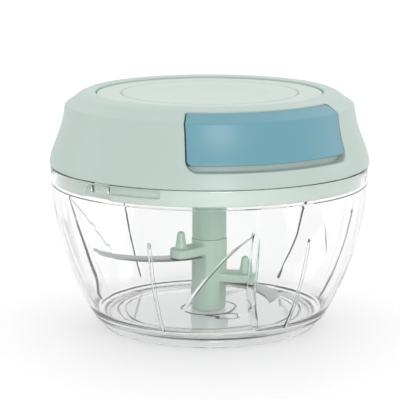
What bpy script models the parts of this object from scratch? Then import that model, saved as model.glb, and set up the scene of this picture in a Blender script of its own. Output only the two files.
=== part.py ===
"""Pull-cord vegetable chopper, modelled as the pieces it comes apart into.

Metres, +Z up. The origin is on the chopper's axis, on the table. An azimuth runs from the
front (-Y) towards the right (+X), anticlockwise seen from above, as the blades turn.
"""
import math

import bmesh
import bpy
from mathutils import Matrix, Vector, geometry

MM = 0.001
DEG = math.pi / 180.0

# Shared fits
GAP = 0.3 * MM
PLASTIC = 2.0 * MM
STEPS_LARGE = 60
STEPS_REEL = 36
STEPS_SMALL = 24
STEPS_TINY = 16
HANDLE_STEPS = 12

# Bowl
BOWL_HEIGHT = 63.9 * MM
RIM_RADIUS = 62.2 * MM
RIM_WALL = 2.0 * MM
RIM_BAND = 6.8 * MM
BAND_STEP = 0.4 * MM
BOWL_WALL = 2.2 * MM
BELLY_BULGE = 3.4 * MM
BELLY_FOOT_RADIUS = 46.2 * MM
BELLY_FOOT_Z = 4.6 * MM
FOOT_RADIUS = 42.3 * MM
FOOT_HEIGHT = 2.6 * MM
FOOT_WALL = 2.0 * MM
FLOOR_TOP = 4.5 * MM
FLOOR_THICK = 2.2 * MM
FLOOR_RADIUS = 37.4 * MM
FLOOR_FILLET = 4.5 * MM
BOSS_RADIUS = 4.2 * MM
BOSS_HEIGHT = 7.5 * MM
RIB_COUNT = 6
RIB_AZIMUTH = -22.0 * DEG
RIB_WIDTH = 1.2 * MM
RIB_DEPTH = 0.8 * MM
RIB_TOP = 43.0 * MM
BAFFLE_COUNT = 3
BAFFLE_AZIMUTH = 16.5 * DEG
BAFFLE_TOP = 49.0 * MM
BAFFLE_BOTTOM = FLOOR_TOP - FLOOR_THICK / 2
BAFFLE_SWEEP = 32.0 * DEG
BAFFLE_DEPTH = 5.0 * MM
LUG_WIDTH = 7.5 * DEG
LUG_HEIGHT = 2.3 * MM
LUG_DEPTH = 1.8 * MM

# Pivot pin
PIN_RADIUS = 2.0 * MM
PIN_SEAT = 1.0 * MM
PIN_LENGTH = 26.5 * MM

# Blade unit
SHAFT_RADIUS = 7.0 * MM
SHAFT_TOP = 33.6 * MM
SPIGOT_RADIUS = 3.6 * MM
SPIGOT_LENGTH = 16.4 * MM
KEY_WIDTH = 3.0 * MM
KEY_TIP = 5.5 * MM
KEY_CHAMFER = 0.6 * MM
KEY_RISE = 2.0 * MM
KEY_AZIMUTH = 20.0 * DEG
ARM_REACH = 15.0 * MM
ARM_HALF_WIDTH = 4.3 * MM
ARM_THICK = 3.4 * MM
ARM_LEVELS = (27.9 * MM, 16.4 * MM, 7.1 * MM)
ARM_AZIMUTH = -47.7 * DEG
ARM_SPACING = 120.0 * DEG
PEG_RADIUS = 2.25 * MM
PEG_TOP_RADIUS = 1.5 * MM
PEG_HEIGHT = 6.8 * MM
STAKE_RADIUS = 1.5 * MM
BLADE_NAMES = ("blade_upper", "blade_middle", "blade_lower")
BLADE_THICK = 0.8 * MM
BLADE_WIDTH = 9.0 * MM
BLADE_CURVE = 29.0 * MM
BLADE_CENTRE = (5.0 * MM, -28.0 * MM)
BLADE_ROOT_ANGLE = 85.0 * DEG
BLADE_TIP_ANGLES = (-17.0 * DEG, 6.0 * DEG, 8.0 * DEG)
BLADE_TIP_INSET = 2.0 * MM

# Lid
LID_RADIUS = RIM_RADIUS + GAP
LID_EDGE = BOWL_HEIGHT + GAP
LID_WALL = 2.0 * MM
SEAL_THICK = 0.9 * MM
SEAL_WIDTH = 0.7 * MM
PLATE_THICK = 2.2 * MM
SKIRT_WALL = 2.2 * MM
SKIRT_DEPTH = 6.5 * MM
COLLAR_RADIUS = 9.8 * MM
COLLAR_DROP = 3.0 * MM
COLLAR_RISE = 1.4 * MM
SLOT_CLEAR = 0.25 * MM
SLOT_MOUTH = 12.5 * DEG
TURN_TO_LOCK = 20.0 * DEG
LUG_AZIMUTH = -41.5 * DEG
SHOULDER_INSET = 6.1 * MM
CREST_INSET = 11.0 * MM
CREST_WIDTH = 7.5 * MM
DISC_THICK = 2.2 * MM
DISC_SEAT = 4.0 * MM
DISC_GROOVE = 0.5 * MM
DISC_GROOVE_INSET = 9.5 * MM
DISH_INSET = 20.0 * MM
DISH_SLOPE = 6.0 * MM
DISH_DEPTH = 0.8 * MM
RIM_RISE = 1.1 * MM
DECK_THICK = 1.8 * MM
SCREW_INSET = 7.5 * MM
SCREW_AZIMUTH = 85.0 * DEG
SCREW_BOSS_RADIUS = 3.4 * MM
SCREW_RADIUS = 1.2 * MM
SCREW_HEAD_RADIUS = 2.8 * MM
SCREW_HEAD = 1.1 * MM
SCREW_LENGTH = 14.0 * MM

# Pull handle and its notch in the lid
HANDLE_AZIMUTH = 24.3 * DEG
HANDLE_SWEEP = 67.9 * DEG
HANDLE_TAPER = 1.5 * DEG
HANDLE_SIDE_GAP = 0.5 * DEG
HANDLE_RIM = 2.0 * DEG
HANDLE_CORNER = 2.3 * MM
HANDLE_SKIN = 1.8 * MM
HANDLE_BACK_THICK = 1.3 * MM
NOTCH_RISE = 5.8 * MM
NOTCH_CORNER = 4.5 * MM
FINGER_GAP = 2.5 * MM
FINGER_DEPTH = 2.6 * MM
CREST_GAP = 0.4 * MM

# Cord
CORD_DIAMETER = 1.5 * MM
CORD_SPACING = 0.5 * MM
CORD_TURNS = 2.25
EYELET_RADIUS = 2.1 * MM
EYELET_FLANGE = 3.2 * MM
EYELET_FLANGE_THICK = 0.7 * MM
STOP_RADIUS = 2.2 * MM
STOP_THICK = 1.3 * MM
CORD_RISE = 2.5 * MM
CORD_BEND = 3.0 * MM

# Reel, clutch and recoil spring
REEL_FLANGE_RADIUS = 30.0 * MM
REEL_CORE_RADIUS = 20.8 * MM
REEL_FLANGE = 1.3 * MM
REEL_WEB = 2.0 * MM
CUP_RADIUS = 28.5 * MM
CUP_WALL = 1.5 * MM
RATCHET_ROOT = 16.8 * MM
RATCHET_TIP = 15.0 * MM
RATCHET_TEETH = 12
SLEEVE_RADIUS = 6.8 * MM
SLEEVE_WALL = 1.0 * MM
SLEEVE_KEY_TIP = 4.0 * MM
SLEEVE_FLANGE_RADIUS = 13.0 * MM
SLEEVE_FLANGE = 1.5 * MM
PAWL_COUNT = 3
PAWL_RING = 9.5 * MM
PAWL_THICK = 2.0 * MM
PAWL_EYE = 2.3 * MM
PAWL_PIN_RADIUS = 0.9 * MM
PAWL_REACH = 35.0 * DEG
PAWL_PLAY = 8.0 * DEG
PAWL_NOSE = 6.0 * DEG
SPRING_WIDTH = 5.0 * MM
SPRING_THICK = 0.5 * MM
SPRING_TURNS = 7
SPRING_HEADROOM = 3.2 * MM
SPINDLE_RADIUS = 3.0 * MM
ARBOR_RADIUS = 5.0 * MM

# Heights that follow from the sizes above, from the bowl's rim up
PLATE_Z = LID_EDGE + SEAL_THICK + GAP
PLATE_TOP = PLATE_Z + PLATE_THICK
SKIRT_RADIUS = RIM_RADIUS - RIM_WALL - GAP
SKIRT_Z = LID_EDGE - SKIRT_DEPTH
LUG_Z = SKIRT_Z + SKIRT_DEPTH / 2 - LUG_HEIGHT / 4
COLLAR_TOP = PLATE_TOP + COLLAR_RISE
REEL_Z = PLATE_TOP + GAP
GROOVE_Z = REEL_Z + REEL_FLANGE
CORD_PITCH = CORD_DIAMETER + CORD_SPACING
GROOVE_TOP = GROOVE_Z + CORD_TURNS * CORD_PITCH + CORD_DIAMETER + 2 * GAP
WOUND_RADIUS = REEL_CORE_RADIUS + GAP + CORD_DIAMETER / 2
CORD_LOW_Z = GROOVE_Z + GAP + CORD_DIAMETER / 2
CORD_HIGH_Z = CORD_LOW_Z + CORD_TURNS * CORD_PITCH
REEL_TOP = GROOVE_TOP + REEL_FLANGE
WEB_Z = REEL_TOP - REEL_WEB
SPRING_Z = REEL_TOP + GAP
SPRING_TOP = SPRING_Z + SPRING_WIDTH
DECK_Z = SPRING_TOP + SPRING_HEADROOM
DECK_TOP = DECK_Z + DECK_THICK
SPINDLE_HEAD = SCREW_HEAD + GAP
DISC_Z = DECK_TOP + SPINDLE_HEAD + GAP
DISC_TOP = DISC_Z + DISC_THICK
LID_TOP = DISC_TOP + RIM_RISE
SHOULDER_Z = DECK_Z + 1.0 * MM
CREST_Z = DISC_TOP - 0.8 * MM
SHOULDER_RADIUS = LID_RADIUS - SHOULDER_INSET
CREST_RADIUS = LID_RADIUS - CREST_INSET
DISC_RADIUS = CREST_RADIUS - CREST_WIDTH
DISC_GROOVE_RADIUS = DISC_RADIUS - DISC_GROOVE_INSET
DISH_RADIUS = DISC_RADIUS - DISH_INSET
SCREW_RING = CREST_RADIUS - SCREW_INSET
NOTCH_WALL_RADIUS = CREST_RADIUS - GAP
NOTCH_Z = LID_EDGE + NOTCH_RISE
HANDLE_Z = NOTCH_Z + FINGER_GAP
LEDGE_Z = HANDLE_Z - GAP
EYELET_Z = CORD_HIGH_Z + CORD_RISE
SLEEVE_FLANGE_Z = COLLAR_TOP + GAP
PAWL_Z = SLEEVE_FLANGE_Z + SLEEVE_FLANGE + GAP
HANDLE_BACK = NOTCH_WALL_RADIUS + GAP + EYELET_FLANGE_THICK + GAP

COLOURS = {
    "clear_plastic": ((0.86, 0.89, 0.88), 0.05, 0.0, 0.25),
    "mint_plastic": ((0.60, 0.72, 0.63), 0.35, 0.0, 1.0),
    "mint_dark_plastic": ((0.40, 0.52, 0.44), 0.40, 0.0, 1.0),
    "blue_plastic": ((0.19, 0.39, 0.47), 0.35, 0.0, 1.0),
    "white_plastic": ((0.80, 0.80, 0.78), 0.45, 0.0, 1.0),
    "blade_steel": ((0.62, 0.62, 0.61), 0.22, 1.0, 1.0),
    "spring_steel": ((0.35, 0.35, 0.36), 0.35, 1.0, 1.0),
    "brass": ((0.70, 0.52, 0.22), 0.30, 1.0, 1.0),
    "silicone": ((0.75, 0.78, 0.76), 0.60, 0.0, 1.0),
    "cord_nylon": ((0.82, 0.83, 0.82), 0.70, 0.0, 1.0),
}


def clear_scene():
    """Remove every object, so the script gives the same result from any scene."""
    for obj in list(bpy.data.objects):
        bpy.data.objects.remove(obj, do_unlink=True)


def make_collection(name):
    """Return a new collection linked to the scene."""
    collection = bpy.data.collections.new(name)
    bpy.context.scene.collection.children.link(collection)
    return collection


def make_material(name):
    """Return the Principled material of one of the named finishes."""
    if name in bpy.data.materials:
        return bpy.data.materials[name]
    colour, roughness, metallic, alpha = COLOURS[name]
    mat = bpy.data.materials.new(name)
    mat.use_nodes = True
    shader = mat.node_tree.nodes["Principled BSDF"]
    shader.inputs["Base Color"].default_value = (*colour, 1.0)
    shader.inputs["Roughness"].default_value = roughness
    shader.inputs["Metallic"].default_value = metallic
    shader.inputs["Alpha"].default_value = alpha
    return mat


def polar(radius, azimuth, z=0.0):
    """Return the point at a radius and an azimuth from the front."""
    return Vector((radius * math.sin(azimuth), -radius * math.cos(azimuth), z))


class Model:
    """The two collections, and the ways in which pieces and cutters enter them."""

    def __init__(self):
        self.parts = make_collection("vegetable_chopper")
        self.cutters = make_collection("cutters")

    def group(self, name, parent=None):
        """Add an empty on the main axis that carries the pieces of one moving body."""
        empty = bpy.data.objects.new(name, None)
        empty.empty_display_size = 10 * MM
        empty.parent = parent
        self.parts.objects.link(empty)
        return empty

    def part(self, name, data, finish, parent, location=(0, 0, 0)):
        """Add a sub-part with its own finish."""
        obj = bpy.data.objects.new(name, data)
        obj.location = location
        obj.parent = parent
        data.materials.append(make_material(finish))
        self.parts.objects.link(obj)
        return obj

    def cutter(self, name, data):
        """Add a guide solid that only shapes other pieces."""
        obj = bpy.data.objects.new(name, data)
        obj.hide_render = True
        obj.display_type = "WIRE"
        self.cutters.objects.link(obj)
        return obj

    def combine(self, obj, operation, name, data):
        """Cut a solid from a piece or join it on, exactly."""
        modifier = obj.modifiers.new(name, "BOOLEAN")
        modifier.operation = operation
        modifier.solver = "EXACT"
        modifier.object = self.cutter(obj.name + "_" + name, data)


def finish_mesh(name, bm):
    """Turn a bmesh into a mesh with its normals out and its sharp edges marked."""
    bmesh.ops.recalc_face_normals(bm, faces=bm.faces)
    mesh = bpy.data.meshes.new(name)
    bm.to_mesh(mesh)
    bm.free()
    mesh.shade_smooth()
    mesh.set_sharp_from_angle(angle=35 * DEG)
    return mesh


def turned(model, name, profile, steps, finish, parent):
    """Add a turned piece: a profile down its outer side, swept by a Screw modifier."""
    mesh = bpy.data.meshes.new(name)
    points = [(radius, 0, z) for radius, z in profile]
    edges = [(i, i + 1) for i in range(len(points) - 1)]
    if profile[0][0] > 0:
        edges.append((len(points) - 1, 0))
    mesh.from_pydata(points, edges, [])
    obj = model.part(name, mesh, finish, parent)
    screw = obj.modifiers.new("turn", "SCREW")
    screw.steps = screw.render_steps = steps
    screw.use_merge_vertices = True
    screw.merge_threshold = 0.002 * MM
    return obj


def add_prism(bm, outline, z0, z1):
    """Add an extruded flat outline to a bmesh."""
    face = bm.faces.new([bm.verts.new((x, y, z0)) for x, y in outline])
    grown = bmesh.ops.extrude_face_region(bm, geom=[face], use_keep_orig=True)
    raised = [item for item in grown["geom"] if isinstance(item, bmesh.types.BMVert)]
    bmesh.ops.translate(bm, verts=raised, vec=(0, 0, z1 - z0))
    return raised


def prism_mesh(name, outline, z0, z1):
    """Return an extruded flat outline as a mesh."""
    bm = bmesh.new()
    add_prism(bm, outline, z0, z1)
    return finish_mesh(name, bm)


def add_sector(bm, outline, start, sweep, steps):
    """Add an outline of radius and height, swept part of the way round the axis."""
    verts = [bm.verts.new(polar(radius, start, z)) for radius, z in outline]
    face = bm.faces.new(verts)
    bmesh.ops.spin(bm, geom=[face, *face.edges, *verts], cent=(0, 0, 0), axis=(0, 0, 1),
                   angle=sweep, steps=steps)


def sector_mesh(name, outline, start, sweep, steps):
    """Return an outline swept part of the way round the axis."""
    bm = bmesh.new()
    add_sector(bm, outline, start, sweep, steps)
    return finish_mesh(name, bm)


def ring_of_posts(name, places, radius, z0, z1, segments=STEPS_TINY):
    """Return upright cylinders at the given places as one mesh."""
    bm = bmesh.new()
    for place in places:
        spot = Matrix.Translation((place[0], place[1], (z0 + z1) / 2))
        bmesh.ops.create_cone(bm, cap_ends=True, segments=segments, radius1=radius,
                              radius2=radius, depth=z1 - z0, matrix=spot)
    return finish_mesh(name, bm)


def arc_points(centre, radius, start, end, count):
    """Return points along a circular arc, both ends included."""
    turn = (end - start) / (count - 1)
    return [(centre[0] + radius * math.cos(start + i * turn),
             centre[1] + radius * math.sin(start + i * turn)) for i in range(count)]


def bezier(points, count):
    """Return points along a Bezier curve of any order."""
    result = []
    order = len(points) - 1
    for i in range(count):
        t = i / (count - 1)
        weights = [math.comb(order, k) * t ** k * (1 - t) ** (order - k) for k in range(order + 1)]
        result.append(tuple(sum(w * p[axis] for w, p in zip(weights, points)) for axis in (0, 1)))
    return result


def belly_arc():
    """Return the centre and radius of the arc that the bowl's outer wall follows."""
    low = Vector((BELLY_FOOT_RADIUS, BELLY_FOOT_Z))
    high = Vector((RIM_RADIUS - BAND_STEP, BOWL_HEIGHT - RIM_BAND))
    chord = high - low
    radius = ((chord.length / 2) ** 2 + BELLY_BULGE ** 2) / (2 * BELLY_BULGE)
    inward = Vector((-chord.y, chord.x)).normalized()
    return (low + high) / 2 + inward * (radius - BELLY_BULGE), radius


def belly_point(z, inset=0.0):
    """Return the radius of the bowl's wall at a height, moved in by an inset."""
    centre, radius = belly_arc()
    return centre.x + math.sqrt((radius - inset) ** 2 - (z - centre.y) ** 2)


def belly_run(z0, z1, inset, count):
    """Return points of the bowl's wall between two heights."""
    heights = [z0 + (z1 - z0) * i / (count - 1) for i in range(count)]
    return [(belly_point(z, inset), z) for z in heights]


def bowl_profile():
    """Return the bowl's outline: pin boss, floor, inner wall, rim, outer wall and foot."""
    band_z = BOWL_HEIGHT - RIM_BAND
    fillet_z = FLOOR_TOP + FLOOR_FILLET
    pin_hole = PIN_RADIUS + GAP
    profile = [(0, FLOOR_TOP - PIN_SEAT), (pin_hole, FLOOR_TOP - PIN_SEAT)]
    profile += [(pin_hole, FLOOR_TOP + BOSS_HEIGHT), (BOSS_RADIUS, FLOOR_TOP + BOSS_HEIGHT)]
    profile += [(BOSS_RADIUS, FLOOR_TOP)]
    wall_foot = belly_point(fillet_z, BOWL_WALL)
    profile += bezier([(FLOOR_RADIUS, FLOOR_TOP), ((FLOOR_RADIUS + 2 * wall_foot) / 3, FLOOR_TOP),
                       (wall_foot, fillet_z)], 5)
    profile += belly_run(fillet_z, band_z, BOWL_WALL, 6)[1:]
    profile += [(RIM_RADIUS - RIM_WALL, band_z + RIM_BAND / 5)]
    profile += [(RIM_RADIUS - RIM_WALL, BOWL_HEIGHT - RIM_WALL / 5)]
    profile += [(RIM_RADIUS - RIM_WALL * 4 / 5, BOWL_HEIGHT), (RIM_RADIUS - RIM_WALL / 5, BOWL_HEIGHT)]
    profile += [(RIM_RADIUS, BOWL_HEIGHT - RIM_WALL / 5), (RIM_RADIUS, band_z)]
    profile += belly_run(band_z - BAND_STEP, BELLY_FOOT_Z, 0.0, 6)
    profile += bezier([(BELLY_FOOT_RADIUS, BELLY_FOOT_Z),
                       (BELLY_FOOT_RADIUS - 0.8 * MM, FOOT_HEIGHT + 0.4 * MM),
                       (FOOT_RADIUS, FOOT_HEIGHT)], 4)[1:]
    profile += [(FOOT_RADIUS, 0), (FOOT_RADIUS - FOOT_WALL, 0)]
    profile += [(FOOT_RADIUS - FOOT_WALL, FLOOR_TOP - FLOOR_THICK), (0, FLOOR_TOP - FLOOR_THICK)]
    return profile


def rib_mesh():
    """Return the thin upright ribs on the bowl's inner wall."""
    bm = bmesh.new()
    low = FLOOR_TOP + FLOOR_FILLET / 2
    side = belly_run(low, RIB_TOP, BOWL_WALL + RIB_DEPTH, 5)
    back = belly_run(RIB_TOP + RIB_DEPTH, low, BOWL_WALL / 2, 5)
    for i in range(RIB_COUNT):
        turn = Matrix.Rotation(RIB_AZIMUTH + i * 2 * math.pi / RIB_COUNT - math.pi / 2, 4, "Z")
        face = bm.faces.new([bm.verts.new(turn @ Vector((r, -RIB_WIDTH / 2, z))) for r, z in side + back])
        grown = bmesh.ops.extrude_face_region(bm, geom=[face], use_keep_orig=True)
        moved = [item for item in grown["geom"] if isinstance(item, bmesh.types.BMVert)]
        bmesh.ops.translate(bm, verts=moved, vec=turn @ Vector((0, RIB_WIDTH, 0)))
    return finish_mesh("ribs", bm)


def baffle_mesh(index):
    """Return one swept baffle: a fin with a steep face and a long ramp behind it."""
    bm = bmesh.new()
    levels = 6
    edge = BAFFLE_AZIMUTH + index * 2 * math.pi / BAFFLE_COUNT
    rings = []
    for i in range(levels):
        t = i / (levels - 1)
        z = BAFFLE_BOTTOM + (BAFFLE_TOP - BAFFLE_BOTTOM) * t
        depth = BAFFLE_DEPTH * (1 - t) ** 0.7 + 0.1 * MM
        sweep = BAFFLE_SWEEP * (1 - t) ** 1.3 + 1.5 * DEG
        wall = belly_point(z, BOWL_WALL)
        sunk = belly_point(z, BOWL_WALL / 2)
        section = [polar(sunk, edge + 0.5 * DEG, z), polar(wall - depth, edge, z)]
        section += [polar(wall - depth * 0.35, edge - sweep * 0.5, z), polar(sunk, edge - sweep, z)]
        section += [polar(sunk, edge - sweep / 2, z)]
        rings.append([bm.verts.new(point) for point in section])
    for low, high in zip(rings, rings[1:]):
        for k in range(len(low)):
            n = (k + 1) % len(low)
            bm.faces.new((low[k], low[n], high[n], high[k]))
    bm.faces.new(rings[0])
    bm.faces.new(rings[-1])
    bmesh.ops.triangulate(bm, faces=bm.faces)
    return finish_mesh("baffle", bm)


def lug_mesh():
    """Return the three lugs inside the rim that the lid's slots lock under."""
    bm = bmesh.new()
    inner = RIM_RADIUS - RIM_WALL - LUG_DEPTH
    outer = RIM_RADIUS - RIM_WALL / 2
    outline = [(inner, LUG_Z), (outer, LUG_Z), (outer, LUG_Z + LUG_HEIGHT), (inner, LUG_Z + LUG_HEIGHT)]
    for i in range(3):
        start = LUG_AZIMUTH - LUG_WIDTH / 2 + i * 2 * math.pi / 3
        add_sector(bm, outline, start, LUG_WIDTH, 3)
    return finish_mesh("lugs", bm)


def build_bowl(model, parent):
    """Build the clear bowl and the steel pin that the blade unit turns on."""
    bowl = turned(model, "bowl", bowl_profile(), STEPS_LARGE, "clear_plastic", parent)
    model.combine(bowl, "UNION", "ribs", rib_mesh())
    for i in range(BAFFLE_COUNT):
        model.combine(bowl, "UNION", "baffle_" + str(i + 1), baffle_mesh(i))
    model.combine(bowl, "UNION", "lugs", lug_mesh())
    low = FLOOR_TOP - PIN_SEAT + GAP
    top = low + PIN_LENGTH
    nose = PIN_RADIUS / 2
    pin = [(0, top), (nose, top), (PIN_RADIUS, top - nose), (PIN_RADIUS, low), (0, low)]
    turned(model, "pivot_pin", pin, STEPS_TINY, "blade_steel", parent)


def arm_outline(azimuth):
    """Return an arm's plan: a bar from the axis that ends in a half round."""
    spine = azimuth - math.pi / 2
    tip = (ARM_REACH * math.cos(spine), ARM_REACH * math.sin(spine))
    outline = arc_points(tip, ARM_HALF_WIDTH, spine - math.pi / 2, spine + math.pi / 2, 9)
    root = SHAFT_RADIUS * 3 / 4
    for side in (1, -1):
        outline.append((root * math.cos(spine) - side * ARM_HALF_WIDTH * math.sin(spine),
                        root * math.sin(spine) + side * ARM_HALF_WIDTH * math.cos(spine)))
    return outline


def peg_mesh(azimuth, level):
    """Return a tapered peg with a rounded top, and the stake below it that holds the blade."""
    bm = bmesh.new()
    base = level + ARM_THICK - 0.5 * MM
    height = PEG_HEIGHT + 0.5 * MM
    spot = Matrix.Translation(polar(ARM_REACH, azimuth, base + height / 2))
    bmesh.ops.create_cone(bm, cap_ends=True, segments=STEPS_TINY, radius1=PEG_RADIUS,
                          radius2=PEG_TOP_RADIUS, depth=height, matrix=spot)
    rim = [edge for edge in bm.edges if all(v.co.z > base + height / 2 for v in edge.verts)]
    bmesh.ops.bevel(bm, geom=rim, offset=PEG_TOP_RADIUS / 2, segments=2, affect="EDGES", profile=0.5)
    return finish_mesh("peg", bm)


def stake_mesh(azimuth, level):
    """Return the stub under an arm that passes through the blade's hole."""
    low = level - GAP - BLADE_THICK - GAP
    high = level + ARM_THICK / 2
    return ring_of_posts("stake", [polar(ARM_REACH, azimuth)], STAKE_RADIUS, low, high, 12)


def key_mesh(inner, outer, azimuth, z0, z1):
    """Return two opposite driving keys as one mesh."""
    bm = bmesh.new()
    for half_turn in (0, math.pi):
        spine = azimuth + half_turn - math.pi / 2
        across = Vector((-math.sin(spine), math.cos(spine))) * KEY_WIDTH / 2
        along = Vector((math.cos(spine), math.sin(spine)))
        corners = [along * inner - across, along * outer - across]
        corners += [along * outer + across, along * inner + across]
        add_prism(bm, corners, z0, z1)
    return finish_mesh("keys", bm)


def build_blade_shaft(model, parent):
    """Build the moulded shaft with its arms, pegs and driving keys."""
    bottom = FLOOR_TOP + GAP
    socket = FLOOR_TOP + BOSS_HEIGHT + 2 * GAP
    bore = PIN_RADIUS + GAP
    bore_top = FLOOR_TOP - PIN_SEAT + PIN_LENGTH + 2 * GAP
    spigot_top = SHAFT_TOP + SPIGOT_LENGTH
    chamfer = 0.5 * MM
    profile = [(0, spigot_top), (SPIGOT_RADIUS - chamfer, spigot_top), (SPIGOT_RADIUS, spigot_top - chamfer)]
    profile += [(SPIGOT_RADIUS, SHAFT_TOP), (SHAFT_RADIUS - chamfer, SHAFT_TOP)]
    profile += [(SHAFT_RADIUS, SHAFT_TOP - chamfer), (SHAFT_RADIUS, bottom + chamfer)]
    profile += [(SHAFT_RADIUS - chamfer, bottom), (BOSS_RADIUS + GAP, bottom), (BOSS_RADIUS + GAP, socket)]
    profile += [(bore, socket), (bore, bore_top), (0, bore_top)]
    shaft = turned(model, "blade_shaft", profile, STEPS_SMALL, "mint_plastic", parent)
    for i, level in enumerate(ARM_LEVELS):
        azimuth = ARM_AZIMUTH + i * ARM_SPACING
        number = str(i + 1)
        arm = ring_arm_mesh(azimuth, level)
        model.combine(shaft, "UNION", "arm_" + number, arm)
        model.combine(shaft, "UNION", "peg_" + number, peg_mesh(azimuth, level))
        model.combine(shaft, "UNION", "stake_" + number, stake_mesh(azimuth, level))
    keys = key_mesh(SPIGOT_RADIUS / 2, KEY_TIP, KEY_AZIMUTH, SHAFT_TOP + KEY_RISE, spigot_top - KEY_CHAMFER)
    model.combine(shaft, "UNION", "keys", keys)


def ring_arm_mesh(azimuth, level):
    """Return an arm plate with its top edge rounded, clear of the pivot bore."""
    bm = bmesh.new()
    add_prism(bm, arm_outline(azimuth), level, level + ARM_THICK)
    rim = [edge for edge in bm.edges if all(v.co.z > level + ARM_THICK / 2 for v in edge.verts)]
    bmesh.ops.bevel(bm, geom=rim, offset=ARM_THICK / 5, segments=2, affect="EDGES", profile=0.5)
    return finish_mesh("arm", bm)


def blade_outline(tip_angle):
    """Return a sickle blade's plan, its peg along +X: convex edge out, then back inside."""
    count = 14
    outer = []
    inner = []
    for i in range(count):
        t = i / (count - 1)
        angle = BLADE_ROOT_ANGLE + (tip_angle - BLADE_ROOT_ANGLE) * t
        tip_offset = BLADE_TIP_INSET - BLADE_WIDTH / 2
        out = BLADE_WIDTH / 2 + (tip_offset - BLADE_WIDTH / 2) * t ** 2.5
        back = -BLADE_WIDTH / 2 + BLADE_TIP_INSET * t ** 3
        direction = (math.cos(angle), math.sin(angle))
        outer.append(tuple(c + (BLADE_CURVE + out) * d for c, d in zip(BLADE_CENTRE, direction)))
        inner.append(tuple(c + (BLADE_CURVE + back) * d for c, d in zip(BLADE_CENTRE, direction)))
    return outer + inner[-2::-1]


def build_blades(model, parent):
    """Build the three curved steel blades, one under each arm."""
    for i, (name, level, tip_angle) in enumerate(zip(BLADE_NAMES, ARM_LEVELS, BLADE_TIP_ANGLES)):
        top = level - GAP
        blade = model.part(name, prism_mesh(name, blade_outline(tip_angle), top - BLADE_THICK, top),
                           "blade_steel", parent)
        blade.rotation_euler.z = ARM_AZIMUTH + i * ARM_SPACING - math.pi / 2
        hole = ring_of_posts("hole", [(ARM_REACH, 0)], STAKE_RADIUS + GAP, top - 2 * BLADE_THICK,
                             top + BLADE_THICK, 12)
        model.combine(blade, "DIFFERENCE", "hole", hole)
        bpy.data.objects[name + "_hole"].rotation_euler.z = blade.rotation_euler.z


def screw_places():
    """Return the plan positions of the screws that hold the lid's base in its shell."""
    return [polar(SCREW_RING, SCREW_AZIMUTH + i * 2 * math.pi / 3) for i in range(3)]


def slot_mesh():
    """Return the three bayonet slots: a mouth from below, a ramp and a locking run."""
    bm = bmesh.new()
    low = LUG_Z - SLOT_CLEAR
    high = LUG_Z + LUG_HEIGHT + SLOT_CLEAR
    half = LUG_WIDTH / 2
    mouth_right = LUG_AZIMUTH + SLOT_MOUTH / 3
    mouth_left = mouth_right - SLOT_MOUTH
    end = LUG_AZIMUTH + TURN_TO_LOCK + half + 0.4 * DEG
    below = SKIRT_Z - 1 * MM
    steps = 5
    run = [mouth_right + (end - mouth_right) * i / steps for i in range(steps + 1)]
    ramp = LUG_AZIMUTH - half - 0.6 * DEG
    for i in range(3):
        offset = i * 2 * math.pi / 3
        outline = [(mouth_left, below), (LUG_AZIMUTH, below), (mouth_right, below)]
        outline += [(azimuth, low) for azimuth in run]
        outline += [(azimuth, high) for azimuth in reversed(run)]
        outline += [(LUG_AZIMUTH, high), (ramp, high), (mouth_left, low)]
        shells = []
        for radius in (SKIRT_RADIUS - SKIRT_WALL - 0.8 * MM, SKIRT_RADIUS + 0.8 * MM):
            shells.append([bm.verts.new(polar(radius, azimuth + offset, z)) for azimuth, z in outline])
        for k in range(len(outline)):
            n = (k + 1) % len(outline)
            bm.faces.new((shells[0][k], shells[0][n], shells[1][n], shells[1][k]))
        bm.faces.new(shells[0])
        bm.faces.new(shells[1])
    bmesh.ops.triangulate(bm, faces=bm.faces)
    return finish_mesh("slots", bm)


def build_lid_base(model, seal_parent, parent):
    """Build the sealing ring and the lid's base with its skirt, slots and bearing collar."""
    seal_inner = SKIRT_RADIUS + GAP
    seal_outer = seal_inner + SEAL_WIDTH
    seal = [(seal_outer, LID_EDGE + SEAL_THICK), (seal_outer, LID_EDGE)]
    seal += [(seal_inner, LID_EDGE), (seal_inner, LID_EDGE + SEAL_THICK)]
    turned(model, "seal_ring", seal, STEPS_LARGE, "silicone", seal_parent)
    skirt_inner = SKIRT_RADIUS - SKIRT_WALL
    bore = SLEEVE_RADIUS + GAP
    edge = 0.4 * MM
    profile = [(seal_outer, PLATE_TOP), (seal_outer, PLATE_Z), (SKIRT_RADIUS, PLATE_Z)]
    profile += [(SKIRT_RADIUS, SKIRT_Z + edge), (SKIRT_RADIUS - edge, SKIRT_Z)]
    profile += [(skirt_inner + edge, SKIRT_Z), (skirt_inner, SKIRT_Z + edge)]
    profile += [(skirt_inner, PLATE_Z - 2 * edge), (skirt_inner - 2 * edge, PLATE_Z)]
    profile += [(COLLAR_RADIUS, PLATE_Z), (COLLAR_RADIUS, PLATE_Z - COLLAR_DROP)]
    profile += [(bore, PLATE_Z - COLLAR_DROP), (bore, COLLAR_TOP), (COLLAR_RADIUS, COLLAR_TOP)]
    profile += [(COLLAR_RADIUS, PLATE_TOP)]
    base = turned(model, "lid_base", profile, STEPS_LARGE, "mint_plastic", parent)
    model.combine(base, "DIFFERENCE", "slots", slot_mesh())
    holes = ring_of_posts("holes", screw_places(), SCREW_RADIUS + GAP, PLATE_Z - 1 * MM,
                          PLATE_TOP + 1 * MM, 12)
    model.combine(base, "DIFFERENCE", "holes", holes)
    for i, place in enumerate(screw_places()):
        build_screw(model, "base_screw_" + str(i + 1), place, PLATE_Z - GAP, 1, parent)


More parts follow.
